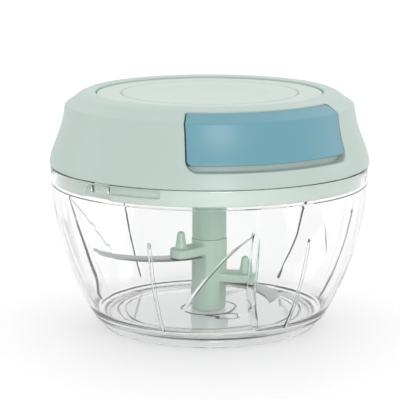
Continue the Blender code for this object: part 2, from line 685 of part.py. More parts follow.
def build_screw(model, name, place, seat, upward, parent):
    """Build a pan-head screw with its head against a seat and its shank up or down."""
    head = seat - upward * SCREW_HEAD
    tip = seat + upward * SCREW_LENGTH
    crown = SCREW_HEAD_RADIUS * 0.7
    edge = seat - upward * SCREW_HEAD / 2
    profile = [(0, tip), (SCREW_RADIUS / 2, tip), (SCREW_RADIUS, tip - upward * SCREW_RADIUS)]
    profile += [(SCREW_RADIUS, seat), (SCREW_HEAD_RADIUS, seat), (SCREW_HEAD_RADIUS, edge)]
    profile += [(crown, head), (0, head)]
    if upward < 0:
        profile.reverse()
    screw = turned(model, name, profile, 12, "spring_steel", parent)
    screw.location = (place[0], place[1], 0)


def side_curve(inset, count, low=0.0, high=1.0):
    """Return the lid's side, from its wide lower edge up to its shoulder."""
    foot_z = LID_EDGE + 0.4 * MM
    rise = SHOULDER_Z - foot_z
    frame = [(LID_RADIUS, foot_z), (LID_RADIUS - 0.2 * MM, foot_z + rise * 0.245),
             (SHOULDER_RADIUS + 0.8 * MM, foot_z + rise * 0.564), (SHOULDER_RADIUS, SHOULDER_Z)]
    whole = bezier(frame, 41)
    picked = [whole[round((low + (high - low) * i / (count - 1)) * 40)] for i in range(count)]
    return [(radius - inset, z) for radius, z in picked]


def side_radius(z, inset=0.0):
    """Return the lid side's radius at a height."""
    points = side_curve(inset, 41)
    for (r0, z0), (r1, z1) in zip(points, points[1:]):
        if z0 <= z <= z1:
            return r0 + (r1 - r0) * (z - z0) / (z1 - z0)
    return points[-1][0]


def crown_curve():
    """Return the top of the lid from its inner lip over the rim and down to the shoulder."""
    lip = DISC_RADIUS + GAP
    peak = (lip + CREST_RADIUS) / 2 - 0.8 * MM
    curve = [(lip, LID_TOP - 0.7 * MM), (lip + 0.4 * MM, LID_TOP - 0.3 * MM), (peak, LID_TOP)]
    curve += [(CREST_RADIUS - 1.6 * MM, CREST_Z + 0.9 * MM), (CREST_RADIUS, CREST_Z)]
    curve += [(CREST_RADIUS + 0.7 * MM, CREST_Z - 0.4 * MM)]
    curve += [(SHOULDER_RADIUS - 0.4 * MM, SHOULDER_Z + 0.8 * MM)]
    return curve


def shell_profile():
    """Return the lid shell's outline: crown, side, lower lip, hollow and deck."""
    lip = LID_RADIUS - 1.3 * MM
    ledge = PLATE_TOP + GAP
    inner = side_curve(LID_WALL, 5)
    inner = [point for point in inner if point[1] > ledge + 1 * MM]
    seat = DISC_RADIUS - DISC_SEAT
    hole = SCREW_RADIUS + GAP
    profile = crown_curve() + list(reversed(side_curve(0.0, 7)))
    profile += [(LID_RADIUS - 0.3 * MM, LID_EDGE), (lip, LID_EDGE), (lip, ledge)]
    profile += [(side_radius(ledge, LID_WALL), ledge)] + inner
    profile += [(inner[-1][0] - 2 * MM, DECK_Z), (hole, DECK_Z), (hole, DECK_TOP), (seat, DECK_TOP)]
    profile += [(seat, DISC_Z - GAP), (DISC_RADIUS + GAP, DISC_Z - GAP)]
    return profile


def corner_heights(low, corner):
    """Return the heights at which a rounded lower corner has its points."""
    return [low + corner * share for share in (0.0, 0.08, 0.25, 0.55, 1.0)]


def handle_sector(name, outline, side, corner=0.0):
    """Sweep an outline about the handle, its ends tapered and its lower corners rounded.

    A side above zero widens the sweep at both ends, and one below zero narrows it.
    """
    bm = bmesh.new()
    half = HANDLE_SWEEP / 2
    add_sector(bm, outline, HANDLE_AZIMUTH - half - side, HANDLE_SWEEP + 2 * side, HANDLE_STEPS)
    low = min(z for radius, z in outline)
    for level in corner_heights(low, corner)[1:]:
        for end in [face for face in bm.faces if len(face.verts) > 4]:
            across = [vert for vert in end.verts if abs(vert.co.z - level) < GAP / 100]
            if len(across) == 2:
                bmesh.ops.connect_verts(bm, verts=across)
    for vert in bm.verts:
        z = vert.co.z
        turn = math.atan2(vert.co.x, -vert.co.y) - HANDLE_AZIMUTH
        inset = HANDLE_TAPER * (CREST_Z - z) / (CREST_Z - HANDLE_Z)
        depth = min(max(low + corner - z, 0.0), corner)
        inset += (corner - math.sqrt(corner ** 2 - depth ** 2)) / LID_RADIUS
        vert.co = polar(math.hypot(vert.co.x, vert.co.y), HANDLE_AZIMUTH + turn * (1 - inset / half), z)
    bmesh.ops.triangulate(bm, faces=bm.faces)
    return finish_mesh(name, bm)


def finger_radius():
    """Return the radius of the finger recess's wall under the handle."""
    return side_radius(HANDLE_Z) - FINGER_DEPTH


def pocket_mesh():
    """Return the block that carries the handle's notch inside the lid's wall."""
    floor = NOTCH_Z - LID_WALL
    ledge = LEDGE_Z - LID_WALL
    back = NOTCH_WALL_RADIUS - LID_WALL
    step = finger_radius() - LID_WALL
    inside = [point for point in side_curve(LID_WALL / 2, 9) if point[1] > floor + 1 * MM]
    outline = [(back, ledge), (step, ledge), (step, floor), (side_radius(floor, LID_WALL / 2), floor)]
    outline += inside + [(CREST_RADIUS + 1 * MM, DECK_TOP), (back, DECK_TOP)]
    return handle_sector("pocket", outline, HANDLE_SIDE_GAP + HANDLE_RIM)


def notch_mesh():
    """Return the space that the pull handle sits in, with the finger recess below it."""
    outer = LID_RADIUS + 5 * MM
    top = LID_TOP + 5 * MM
    heights = corner_heights(NOTCH_Z, NOTCH_CORNER)
    wall = finger_radius()
    inner = [(wall if z < LEDGE_Z else NOTCH_WALL_RADIUS, z) for z in heights]
    split = sum(1 for z in heights if z < LEDGE_Z)
    inner[split:split] = [(wall, LEDGE_Z), (NOTCH_WALL_RADIUS, LEDGE_Z)]
    outline = [(NOTCH_WALL_RADIUS, top)] + inner[::-1] + [(outer, z) for z in heights] + [(outer, top)]
    return handle_sector("notch", outline, HANDLE_SIDE_GAP, NOTCH_CORNER)


def radial_post(name, radius, inner, outer, z, segments=STEPS_TINY):
    """Return a cylinder that lies along the direction in which the handle is pulled."""
    bm = bmesh.new()
    turn = Matrix.Rotation(HANDLE_AZIMUTH, 4, "Z") @ Matrix.Rotation(math.pi / 2, 4, "X")
    spot = Matrix.Translation(polar((inner + outer) / 2, HANDLE_AZIMUTH, z)) @ turn
    bmesh.ops.create_cone(bm, cap_ends=True, segments=segments, radius1=radius, radius2=radius,
                          depth=outer - inner, matrix=spot)
    return finish_mesh(name, bm)


def build_lid_shell(model, parent):
    """Build the lid's outer shell with the handle's notch, and the disc set in its top."""
    shell = turned(model, "lid_shell", shell_profile(), STEPS_LARGE, "mint_plastic", parent)
    model.combine(shell, "UNION", "pocket", pocket_mesh())
    model.combine(shell, "DIFFERENCE", "notch", notch_mesh())
    bosses = ring_of_posts("bosses", screw_places(), SCREW_BOSS_RADIUS, PLATE_TOP + GAP,
                           DECK_TOP - DECK_THICK / 2)
    model.combine(shell, "UNION", "bosses", bosses)
    pilots = ring_of_posts("pilots", screw_places(), SCREW_RADIUS + GAP, PLATE_TOP - 1 * MM,
                           PLATE_Z + SCREW_LENGTH + 1 * MM, 12)
    model.combine(shell, "DIFFERENCE", "pilots", pilots)
    eyelet = radial_post("eyelet_hole", EYELET_RADIUS + GAP, NOTCH_WALL_RADIUS - LID_WALL - 2 * MM,
                         NOTCH_WALL_RADIUS + 1 * MM, EYELET_Z)
    model.combine(shell, "DIFFERENCE", "eyelet_hole", eyelet)
    disc = [(0, DISC_TOP - DISH_DEPTH), (DISH_RADIUS - DISH_SLOPE, DISC_TOP - DISH_DEPTH)]
    disc += [(DISH_RADIUS, DISC_TOP), (DISC_GROOVE_RADIUS - DISC_GROOVE, DISC_TOP)]
    disc += [(DISC_GROOVE_RADIUS, DISC_TOP - DISC_GROOVE), (DISC_GROOVE_RADIUS + DISC_GROOVE, DISC_TOP)]
    disc += [(DISC_RADIUS - DISC_GROOVE, DISC_TOP), (DISC_RADIUS, DISC_TOP - DISC_GROOVE)]
    disc += [(DISC_RADIUS, DISC_Z), (0, DISC_Z)]
    turned(model, "lid_top_disc", disc, STEPS_LARGE, "mint_plastic", parent)


def handle_profile():
    """Return the handle's section: top strip, face, lower edge and flat back."""
    heights = corner_heights(HANDLE_Z, HANDLE_CORNER)
    face = [point for point in side_curve(0.0, 9) if point[1] > heights[-1] + 1 * MM]
    top_inner = NOTCH_WALL_RADIUS + CREST_GAP
    outline = [(top_inner, CREST_Z - 2.2 * MM), (HANDLE_BACK, CREST_Z - 3 * MM)]
    outline += [(HANDLE_BACK, z) for z in reversed(heights)]
    outline += [(side_radius(HANDLE_Z) - 0.5 * MM, HANDLE_Z)]
    outline += [(side_radius(z), z) for z in heights[1:]] + face
    outline += [(SHOULDER_RADIUS - 0.4 * MM, SHOULDER_Z + 0.8 * MM)]
    outline += [(CREST_RADIUS + 0.7 * MM, CREST_Z - 0.4 * MM), (top_inner + 0.3 * MM, CREST_Z)]
    return outline


def build_handle(model, parent):
    """Build the pull handle's cover, its back plate and the stop on the cord's end."""
    cover_mesh = handle_sector("pull_handle", handle_profile(), 0.0, HANDLE_CORNER)
    cover = model.part("pull_handle", cover_mesh, "blue_plastic", parent)
    low = HANDLE_Z + PLASTIC
    top = SHOULDER_Z - 1 * MM
    face = [point for point in side_curve(HANDLE_SKIN, 9) if low + 1 * MM < point[1] < top - 1 * MM]
    hollow = [(NOTCH_WALL_RADIUS, low), (side_radius(low, HANDLE_SKIN), low)] + face
    hollow += [(side_radius(top, HANDLE_SKIN), top), (NOTCH_WALL_RADIUS, top)]
    model.combine(cover, "DIFFERENCE", "hollow", handle_sector("hollow", hollow, -HANDLE_RIM))
    plate = [(HANDLE_BACK, low + GAP), (HANDLE_BACK + HANDLE_BACK_THICK, low + GAP)]
    plate += [(HANDLE_BACK + HANDLE_BACK_THICK, top - GAP), (HANDLE_BACK, top - GAP)]
    plate_side = HANDLE_RIM + 1.5 * GAP / HANDLE_BACK
    back_mesh = handle_sector("handle_back", plate, -plate_side)
    back = model.part("handle_back", back_mesh, "blue_plastic", parent)
    hole = radial_post("cord_hole", CORD_DIAMETER / 2 + GAP, HANDLE_BACK - 2 * MM,
                       HANDLE_BACK + HANDLE_BACK_THICK + 2 * MM, EYELET_Z)
    model.combine(back, "DIFFERENCE", "cord_hole", hole)
    stop_inner = HANDLE_BACK + HANDLE_BACK_THICK + GAP
    stop = radial_post("cord_stop", STOP_RADIUS, stop_inner, stop_inner + STOP_THICK, EYELET_Z)
    model.part("cord_stop", stop, "cord_nylon", parent)


def least_gap(points, thickness, apart):
    """Return the least clear distance between stretches of a coil that lie a turn apart."""
    nearest = min((points[i] - points[j]).length
                  for i in range(len(points)) for j in range(i + apart, len(points)))
    return nearest - thickness


def tube(model, name, points, resolution, finish, parent):
    """Add a cord as a round tube along a run of points, with filled ends."""
    curve = bpy.data.curves.new(name, "CURVE")
    curve.dimensions = "3D"
    curve.bevel_depth = CORD_DIAMETER / 2
    curve.bevel_resolution = resolution
    curve.use_fill_caps = True
    spline = curve.splines.new("POLY")
    spline.points.add(len(points) - 1)
    for spot, point in zip(spline.points, points):
        spot.co = (*point, 1)
    return model.part(name, curve, finish, parent)


def build_cord(model, reel_parent, lid_parent, handle_parent):
    """Build the cord wound on the reel, its run to the handle and the eyelet in the wall."""
    bend = NOTCH_WALL_RADIUS - LID_WALL - CORD_BEND
    leave = HANDLE_AZIMUTH - math.acos(WOUND_RADIUS / bend)
    per_turn = 24
    count = round(CORD_TURNS * per_turn)
    coil = []
    for i in range(count + 1):
        azimuth = leave - (CORD_TURNS * 2 * math.pi) * (1 - i / count)
        rise = CORD_TURNS * CORD_PITCH * i / count
        coil.append(polar(WOUND_RADIUS, azimuth, CORD_LOW_Z + rise))
    corner = polar(bend, HANDLE_AZIMUTH, CORD_HIGH_Z)
    run = corner - coil[-1]
    away = run.normalized()
    leaving = coil[-1]
    coil.append(leaving + away * CORD_DIAMETER)
    tube(model, "cord_winding", coil, 1, "cord_nylon", reel_parent)
    gap = least_gap(coil, CORD_DIAMETER, per_turn // 2)
    print(f"cord_winding: least gap between turns {gap / MM:.2f} mm")
    rise_from = math.sqrt(REEL_FLANGE_RADIUS ** 2 - WOUND_RADIUS ** 2) + CORD_DIAMETER
    rise_to = run.length - CORD_BEND
    line = [leaving + away * (CORD_DIAMETER + GAP)]
    for i in range(9):
        t = i / 8
        spot = leaving + away * (rise_from + (rise_to - rise_from) * t)
        spot.z += (EYELET_Z - CORD_HIGH_Z) * t * t * (3 - 2 * t)
        line.append(spot)
    corner.z = EYELET_Z
    entry = line[-1]
    passed = corner + polar(CORD_BEND, HANDLE_AZIMUTH)
    for i in range(1, 7):
        t = i / 6
        line.append(entry * (1 - t) ** 2 + corner * (2 * t * (1 - t)) + passed * t ** 2)
    line.append(polar(HANDLE_BACK + HANDLE_BACK_THICK, HANDLE_AZIMUTH, EYELET_Z))
    tube(model, "pull_cord", line, 2, "cord_nylon", handle_parent)
    inner = NOTCH_WALL_RADIUS - LID_WALL - 0.6 * MM
    face = NOTCH_WALL_RADIUS + GAP
    barrel = radial_post("cord_eyelet", EYELET_RADIUS, inner, face + GAP / 2, EYELET_Z)
    eyelet = model.part("cord_eyelet", barrel, "brass", lid_parent)
    flange = radial_post("flange", EYELET_FLANGE, face, face + EYELET_FLANGE_THICK, EYELET_Z)
    model.combine(eyelet, "UNION", "flange", flange)
    bore = radial_post("bore", CORD_DIAMETER / 2 + GAP, inner - 2 * MM, face + 3 * MM, EYELET_Z)
    model.combine(eyelet, "DIFFERENCE", "bore", bore)


def ratchet_radius(past):
    """Return the clutch cavity's radius at an angle past the steep side of a tooth."""
    pitch = 2 * math.pi / RATCHET_TEETH
    return RATCHET_ROOT + (RATCHET_TIP - RATCHET_ROOT) * past / pitch


def ratchet_outline():
    """Return the clutch cavity's plan: saw teeth whose steep sides face anticlockwise."""
    outline = []
    pitch = 2 * math.pi / RATCHET_TEETH
    steep = -PAWL_REACH - PAWL_PLAY
    for i in range(RATCHET_TEETH):
        for share in (0.0, 0.5, 0.99):
            radius = ratchet_radius(share * pitch)
            angle = steep + (i + share) * pitch
            outline.append((radius * math.cos(angle), radius * math.sin(angle)))
    return outline


def build_reel(model, parent):
    """Build the cord reel with its spring cup above and its ratchet ring below."""
    bore = SPINDLE_RADIUS + GAP
    cup_inner = CUP_RADIUS - CUP_WALL
    cup_top = SPRING_TOP + 2 * GAP
    profile = [(CUP_RADIUS, cup_top), (CUP_RADIUS, REEL_TOP), (REEL_FLANGE_RADIUS, REEL_TOP)]
    profile += [(REEL_FLANGE_RADIUS, GROOVE_TOP), (REEL_CORE_RADIUS, GROOVE_TOP)]
    profile += [(REEL_CORE_RADIUS, GROOVE_Z)]
    profile += [(REEL_FLANGE_RADIUS, GROOVE_Z), (REEL_FLANGE_RADIUS, REEL_Z), (RATCHET_TIP - 1 * MM, REEL_Z)]
    profile += [(RATCHET_TIP - 1 * MM, WEB_Z), (bore, WEB_Z), (bore, REEL_TOP), (cup_inner, REEL_TOP)]
    profile += [(cup_inner, cup_top)]
    reel = turned(model, "cord_reel", profile, STEPS_REEL, "white_plastic", parent)
    teeth = prism_mesh("teeth", ratchet_outline(), REEL_Z - 1 * MM, WEB_Z)
    model.combine(reel, "DIFFERENCE", "teeth", teeth)


def pawl_mesh():
    """Return a pawl, its pivot at the origin and its nose before a ratchet tooth."""
    pivot = Vector((PAWL_RING, 0))
    eye = arc_points((0, 0), PAWL_EYE, 0, 330 * DEG, 12)
    nose = []
    face = -PAWL_REACH
    heel = face + PAWL_NOSE
    tip = ratchet_radius(PAWL_PLAY)
    for radius, angle in ((tip, face), (RATCHET_TIP, face), (ratchet_radius(PAWL_PLAY + PAWL_NOSE), heel)):
        reach = radius - 2 * GAP
        nose.append(tuple(Vector((reach * math.cos(angle), reach * math.sin(angle))) - pivot))
    points = [Vector(p) for p in eye + nose]
    outline = [points[i] for i in geometry.convex_hull_2d(points)]
    return prism_mesh("pawl", outline, PAWL_Z, PAWL_Z + PAWL_THICK)


def build_drive(model, parent):
    """Build the drive sleeve that turns the blade shaft, with its pawls and their pins."""
    top = SLEEVE_FLANGE_Z + SLEEVE_FLANGE
    inner = SLEEVE_RADIUS - SLEEVE_WALL
    low = SHAFT_TOP + GAP
    bore_top = SHAFT_TOP + SPIGOT_LENGTH + 1 * MM
    profile = [(0, top), (SLEEVE_FLANGE_RADIUS, top), (SLEEVE_FLANGE_RADIUS, SLEEVE_FLANGE_Z)]
    profile += [(SLEEVE_RADIUS, SLEEVE_FLANGE_Z), (SLEEVE_RADIUS, low), (inner, low), (inner, bore_top)]
    profile += [(0, bore_top)]
    sleeve = turned(model, "drive_sleeve", profile, STEPS_SMALL, "mint_dark_plastic", parent)
    corner = math.hypot(SLEEVE_KEY_TIP, KEY_WIDTH / 2)
    lead = math.atan2(KEY_WIDTH / 2, SLEEVE_KEY_TIP) + math.asin((KEY_WIDTH / 2 + GAP) / corner)
    behind = KEY_AZIMUTH - lead
    keys = key_mesh(SLEEVE_KEY_TIP, inner + SLEEVE_WALL / 2, behind, SHAFT_TOP + KEY_RISE, bore_top + GAP)
    model.combine(sleeve, "UNION", "keys", keys)
    share = 2 * math.pi / PAWL_COUNT
    pivots = [(PAWL_RING * math.cos(i * share), PAWL_RING * math.sin(i * share)) for i in range(PAWL_COUNT)]
    holes = ring_of_posts("pin_holes", pivots, PAWL_PIN_RADIUS + GAP, SLEEVE_FLANGE_Z + 2 * GAP,
                          top + 1 * MM, 12)
    model.combine(sleeve, "DIFFERENCE", "pin_holes", holes)
    for i, pivot in enumerate(pivots):
        number = str(i + 1)
        pin_top = PAWL_Z + PAWL_THICK + GAP
        pin = [(0, pin_top), (PAWL_PIN_RADIUS, pin_top), (PAWL_PIN_RADIUS, SLEEVE_FLANGE_Z + 3 * GAP)]
        pin += [(0, SLEEVE_FLANGE_Z + 3 * GAP)]
        turned(model, "pawl_pin_" + number, pin, 12, "spring_steel", parent).location = (*pivot, 0)
        pawl = model.part("pawl_" + number, pawl_mesh(), "white_plastic", parent, (*pivot, 0))
        pawl.rotation_euler.z = i * share
        eye = ring_of_posts("eye", [(0, 0)], PAWL_PIN_RADIUS + GAP, PAWL_Z - 1 * MM, pin_top + 1 * MM, 12)
        model.combine(pawl, "DIFFERENCE", "eye", eye)
        bpy.data.objects[pawl.name + "_eye"].location = (*pivot, 0)


def build_spring(model, parent):
    """Build the flat recoil spring, the spindle that holds its inner end, and their screw."""
    inner = ARBOR_RADIUS + GAP + SPRING_THICK / 2
    outer = CUP_RADIUS - CUP_WALL - GAP - SPRING_THICK / 2
    per_turn = 16
    count = SPRING_TURNS * per_turn
    turn = 2 * math.pi / per_turn
    line = [polar(inner + (outer - inner) * i / count, i * turn) for i in range(count + 1)]
    gap = least_gap(line, SPRING_THICK, per_turn // 2)
    print(f"recoil_spring: least gap between turns {gap / MM:.2f} mm")
    bm = bmesh.new()
    low_row = [bm.verts.new(point + Vector((0, 0, SPRING_Z))) for point in line]
    high_row = [bm.verts.new(point + Vector((0, 0, SPRING_TOP))) for point in line]
    for i in range(count):
        bm.faces.new((low_row[i], low_row[i + 1], high_row[i + 1], high_row[i]))
    spring = model.part("recoil_spring", finish_mesh("recoil_spring", bm), "spring_steel", parent)
    strip = spring.modifiers.new("strip", "SOLIDIFY")
    strip.thickness = SPRING_THICK
    strip.offset = 0
    top = DECK_Z - GAP
    arbor_low = REEL_TOP + GAP
    arbor_high = SPRING_TOP + 2 * GAP
    low = WEB_Z - 1 * MM
    pilot = SCREW_RADIUS + GAP
    pilot_low = top - 7 * MM
    spindle = [(SPINDLE_RADIUS, top), (SPINDLE_RADIUS, arbor_high), (ARBOR_RADIUS, arbor_high)]
    spindle += [(ARBOR_RADIUS, arbor_low), (SPINDLE_RADIUS, arbor_low), (SPINDLE_RADIUS, low), (0, low)]
    spindle = [(0, pilot_low), (pilot, pilot_low), (pilot, top)] + spindle
    turned(model, "reel_spindle", spindle, STEPS_SMALL, "spring_steel", parent)
    seat = DECK_TOP + GAP
    head = [(0, seat + SCREW_HEAD), (SCREW_HEAD_RADIUS * 0.7, seat + SCREW_HEAD)]
    head += [(SCREW_HEAD_RADIUS, seat + SCREW_HEAD / 2), (SCREW_HEAD_RADIUS, seat)]
    head += [(SCREW_RADIUS, seat), (SCREW_RADIUS, pilot_low + 1.5 * MM)]
    head += [(SCREW_RADIUS / 2, pilot_low + GAP), (0, pilot_low + GAP)]
    turned(model, "spindle_screw", head, 12, "spring_steel", parent)


def build():
    """Build the whole chopper, body by body."""
    clear_scene()
    model = Model()
    bowl = model.group("bowl_body")
    blades = model.group("blade_body", bowl)
    seal = model.group("seal_body", bowl)
    lid = model.group("lid_body", seal)
    drive = model.group("drive_body", lid)
    reel = model.group("reel_body", lid)
    handle = model.group("handle_body", lid)
    build_bowl(model, bowl)
    build_blade_shaft(model, blades)
    build_blades(model, blades)
    build_lid_base(model, seal, lid)
    build_lid_shell(model, lid)
    build_handle(model, handle)
    build_drive(model, drive)
    build_reel(model, reel)
    build_spring(model, lid)
    build_cord(model, reel, lid, handle)


build()
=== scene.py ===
"""Looks of a pull-cord vegetable chopper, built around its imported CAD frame.

Metres, +Z up. The origin is on the chopper's axis, on the table. An azimuth runs from the front
(-Y) towards the right (+X), anticlockwise seen from above, which is the way the blades turn.
"""

import logging
import math
from dataclasses import dataclass
from enum import Enum
from typing import Any, Sequence

import bmesh
import bpy
from bpy.types import Material, Mesh, Node, NodeSocket, Object, World
from mathutils import Matrix, Vector


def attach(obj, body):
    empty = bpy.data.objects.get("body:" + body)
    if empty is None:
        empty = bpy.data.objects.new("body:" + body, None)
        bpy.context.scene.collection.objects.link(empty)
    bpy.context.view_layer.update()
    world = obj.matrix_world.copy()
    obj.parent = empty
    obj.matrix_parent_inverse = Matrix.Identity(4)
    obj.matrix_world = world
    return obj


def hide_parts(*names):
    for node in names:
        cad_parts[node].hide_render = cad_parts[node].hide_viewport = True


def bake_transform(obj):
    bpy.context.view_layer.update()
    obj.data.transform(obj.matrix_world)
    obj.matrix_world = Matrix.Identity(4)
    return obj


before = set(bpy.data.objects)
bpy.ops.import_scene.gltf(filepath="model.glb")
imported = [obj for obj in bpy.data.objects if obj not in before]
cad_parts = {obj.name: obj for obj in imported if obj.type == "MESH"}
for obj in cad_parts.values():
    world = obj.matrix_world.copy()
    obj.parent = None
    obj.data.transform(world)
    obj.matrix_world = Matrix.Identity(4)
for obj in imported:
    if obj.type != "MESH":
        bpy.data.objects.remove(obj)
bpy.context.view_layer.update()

MM = 0.001
DEG = math.pi / 180.0
TURN = 2 * math.pi
AXIS = 0.0001 * MM
CORD_RADIUS = 0.75 * MM
REEL_RADIUS = 21.85 * MM
LOG = logging.getLogger("chopper")

Point = tuple[float, float]
Corner = tuple[float, float, float]
Loop = list[Vector]
Row = list[bmesh.types.BMVert]


# Geometry


def polar(radius: float, azimuth: float, z: float = 0.0) -> Vector:
    """Return the point at a radius from the axis, an azimuth from the front and a height."""
    return Vector((radius * math.sin(azimuth), -radius * math.cos(azimuth), z))


def spread(first: float, count: int = 3) -> tuple[float, ...]:
    """Return azimuths spread evenly round the axis, from a first one in degrees."""
    return tuple((first + 360 * k / count) * DEG for k in range(count))


def smooth(low: float, high: float, value: float) -> float:
    """Ease from 0 where the value is low to 1 where it is high."""
    share = min(1.0, max(0.0, (value - low) / (high - low)))
    return share * share * (3 - 2 * share)


def bend(start: Vector, corner: Vector, end: Vector, steps: int) -> Loop:
    """Turn a corner in an arc-like run of that many steps."""
    shares = [k / steps for k in range(steps + 1)]
    return [start * (1 - t) ** 2 + corner * (2 * t * (1 - t)) + end * t * t for t in shares]


def rounded(corners: Sequence[Corner], steps: int = 5) -> list[Point]:
    """Round the corners of an open outline.

    Args:
        corners: Radius, height and rounding of each corner.
        steps: Stretches in each rounding.

    Returns:
        The outline's points, with an arc-like run in place of each rounded corner.
    """
    outline: list[Point] = []
    for index, (x, y, rounding) in enumerate(corners):
        if rounding <= 0 or index in (0, len(corners) - 1):
            outline.append((x, y))
            continue
        here = Vector((x, y))
        before = Vector(corners[index - 1][:2]) - here
        after = Vector(corners[index + 1][:2]) - here
        reach = min(rounding, before.length * 0.49, after.length * 0.49)
        start = here + before.normalized() * reach
        end = here + after.normalized() * reach
        outline += [(point.x, point.y) for point in bend(start, here, end, steps)]
    return outline


def bezier(control: Sequence[Point], count: int) -> list[Point]:
    """Read a Bezier curve of any order.

    Args:
        control: The curve's control points.
        count: How many points to read, both ends included.

    Returns:
        The points along the curve.
    """
    order = len(control) - 1
    curve: list[Point] = []
    for index in range(count):
        t = index / (count - 1)
        weights = [math.comb(order, k) * t**k * (1 - t) ** (order - k) for k in range(order + 1)]
        curve.append((sum(w * p[0] for w, p in zip(weights, control)),
                      sum(w * p[1] for w, p in zip(weights, control))))
    return curve


def as_mesh(name: str, solid: bmesh.types.BMesh, sharp: float = 40 * DEG) -> Mesh:
    """Close a bmesh into a mesh with smooth faces and marked sharp edges.

    Args:
        name: Name of the mesh.
        solid: The bmesh, which this frees.
        sharp: Edges that turn by more than this stay sharp.

    Returns:
        The mesh.
    """
    bmesh.ops.remove_doubles(solid, verts=solid.verts, dist=0.0005 * MM)
    loose = [edge for edge in solid.edges if not edge.link_faces]
    bmesh.ops.delete(solid, geom=loose, context="EDGES")
    bmesh.ops.recalc_face_normals(solid, faces=solid.faces)
    mesh = bpy.data.meshes.new(name)
    solid.to_mesh(mesh)
    solid.free()
    mesh.shade_smooth()
    mesh.set_sharp_from_angle(angle=sharp)
    return mesh


def lay(solid: bmesh.types.BMesh, near: Row, far: Row) -> None:
    """Lay faces between two closed rows of as many points."""
    for index in range(len(near)):
        after = (index + 1) % len(near)
        solid.faces.new((near[index], near[after], far[after], far[index]))


def skinned(name: str, loops: Sequence[Loop], ring: bool = False, sharp: float = 40 * DEG) -> Mesh:
    """Lay a skin over closed loops.

    Args:
        name: Name of the mesh.
        loops: Closed loops with the same number of points.
        ring: Whether the last loop joins the first. If not, a face closes each end.
        sharp: Edges that turn by more than this stay sharp.

    Returns:
        The mesh.
    """
    solid = bmesh.new()
    rows = [[solid.verts.new(point) for point in loop] for loop in loops]
    for near, far in zip(rows, rows[1:]):
        lay(solid, near, far)
    if ring:
        lay(solid, rows[-1], rows[0])
    else:
        solid.faces.new(rows[0])
        solid.faces.new(rows[-1])
    return as_mesh(name, solid, sharp)


def lathed(name: str, outline: Sequence[Point], steps: int = 192, centre: Sequence[float] = (0, 0)) -> Mesh:
    """Turn an outline once round an upright axis.

    Args:
        name: Name of the mesh.
        outline: Radius and height of each point, from axis to axis or else closed on itself.
        steps: Stretches round the axis.
        centre: The axis's place in plan.

    Returns:
        The mesh.
    """
    solid = bmesh.new()
    rings: list[Row] = []
    for radius, z in outline:
        places = [polar(radius, TURN * step / steps) for step in range(1 if radius < AXIS else steps)]
        rings.append([solid.verts.new((place.x + centre[0], place.y + centre[1], z)) for place in places])
    if outline[0][0] > AXIS:
        rings.append(rings[0])
    for low, high in zip(rings, rings[1:]):
        for step in range(steps):
            after = (step + 1) % steps
            corners = [low[step % len(low)], low[after % len(low)],
                       high[after % len(high)], high[step % len(high)]]
            unique = list(dict.fromkeys(corners))
            if len(unique) > 2:
                solid.faces.new(unique)
    return as_mesh(name, solid)


def plug(name: str, radius: float, low: float, high: float, centre: Sequence[float], steps: int = 32) -> Mesh:
    """Return an upright round solid that is joined on or cut out as a boss or a hole."""
    return lathed(name, [(0.0, low), (radius, low), (radius, high), (0.0, high)], steps, centre)


def keys(azimuth: float, near: float, far: float, width: float, low: float, high: float) -> list[Mesh]:
    """Make the two opposite keys that turn a shaft.

    Args:
        azimuth: Azimuth of the first key.
        near: Radius where a key starts.
        far: Radius where it ends.
        width: Its width.
        low: Height of its foot.
        high: Height of its top.

    Returns:
        The two keys.
    """
    plan = [(near, -width / 2), (far, -width / 2), (far, width / 2), (near, width / 2)]
    made = []
    for half_turn in (0.0, math.pi):
        key = skinned("key", [[Vector((x, y, z)) for x, y in plan] for z in (low, high)])
        key.transform(Matrix.Rotation(azimuth + half_turn - math.pi / 2, 4, "Z"))
        made.append(key)
    return made


def tube(name: str, route: Sequence[Vector], radius: float, sides: int) -> Mesh:
    """Lay a round tube along a route.

    Args:
        name: Name of the mesh.
        route: Points along its centre line.
        radius: The tube's radius.
        sides: Sides of its section.

    Returns:
        The mesh, with closed ends.
    """
    loops = []
    turns = [TURN * k / sides for k in range(sides)]
    for index, point in enumerate(route):
        along = (route[min(index + 1, len(route) - 1)] - route[max(index - 1, 0)]).normalized()
        side = along.cross(Vector((0, 0, 1))).normalized()
        up = side.cross(along).normalized()
        loops.append([point + (side * math.cos(a) + up * math.sin(a)) * radius for a in turns])
    return skinned(name, loops)


def aimed(mesh: Mesh, radius: float, azimuth: float, z: float) -> Mesh:
    """Return a mesh after laying its upright axis outwards, at a place on the lid's side."""
    aim = polar(1.0, azimuth).to_track_quat("Z", "Y").to_matrix().to_4x4()
    mesh.transform(Matrix.Translation(polar(radius, azimuth, z)) @ aim)
    return mesh


# Finishes


def linear(colour: str) -> tuple[float, float, float, float]:
    """Turn an sRGB hex colour into the linear one that the shaders take.

    Args:
        colour: Six hex digits.

    Returns:
        Linear red, green, blue and an alpha of 1.
    """
    shares = [int(colour[k:k + 2], 16) / 255 for k in (0, 2, 4)]
    red, green, blue = [s / 12.92 if s <= 0.04045 else ((s + 0.055) / 1.055) ** 2.4 for s in shares]
    return (red, green, blue, 1.0)


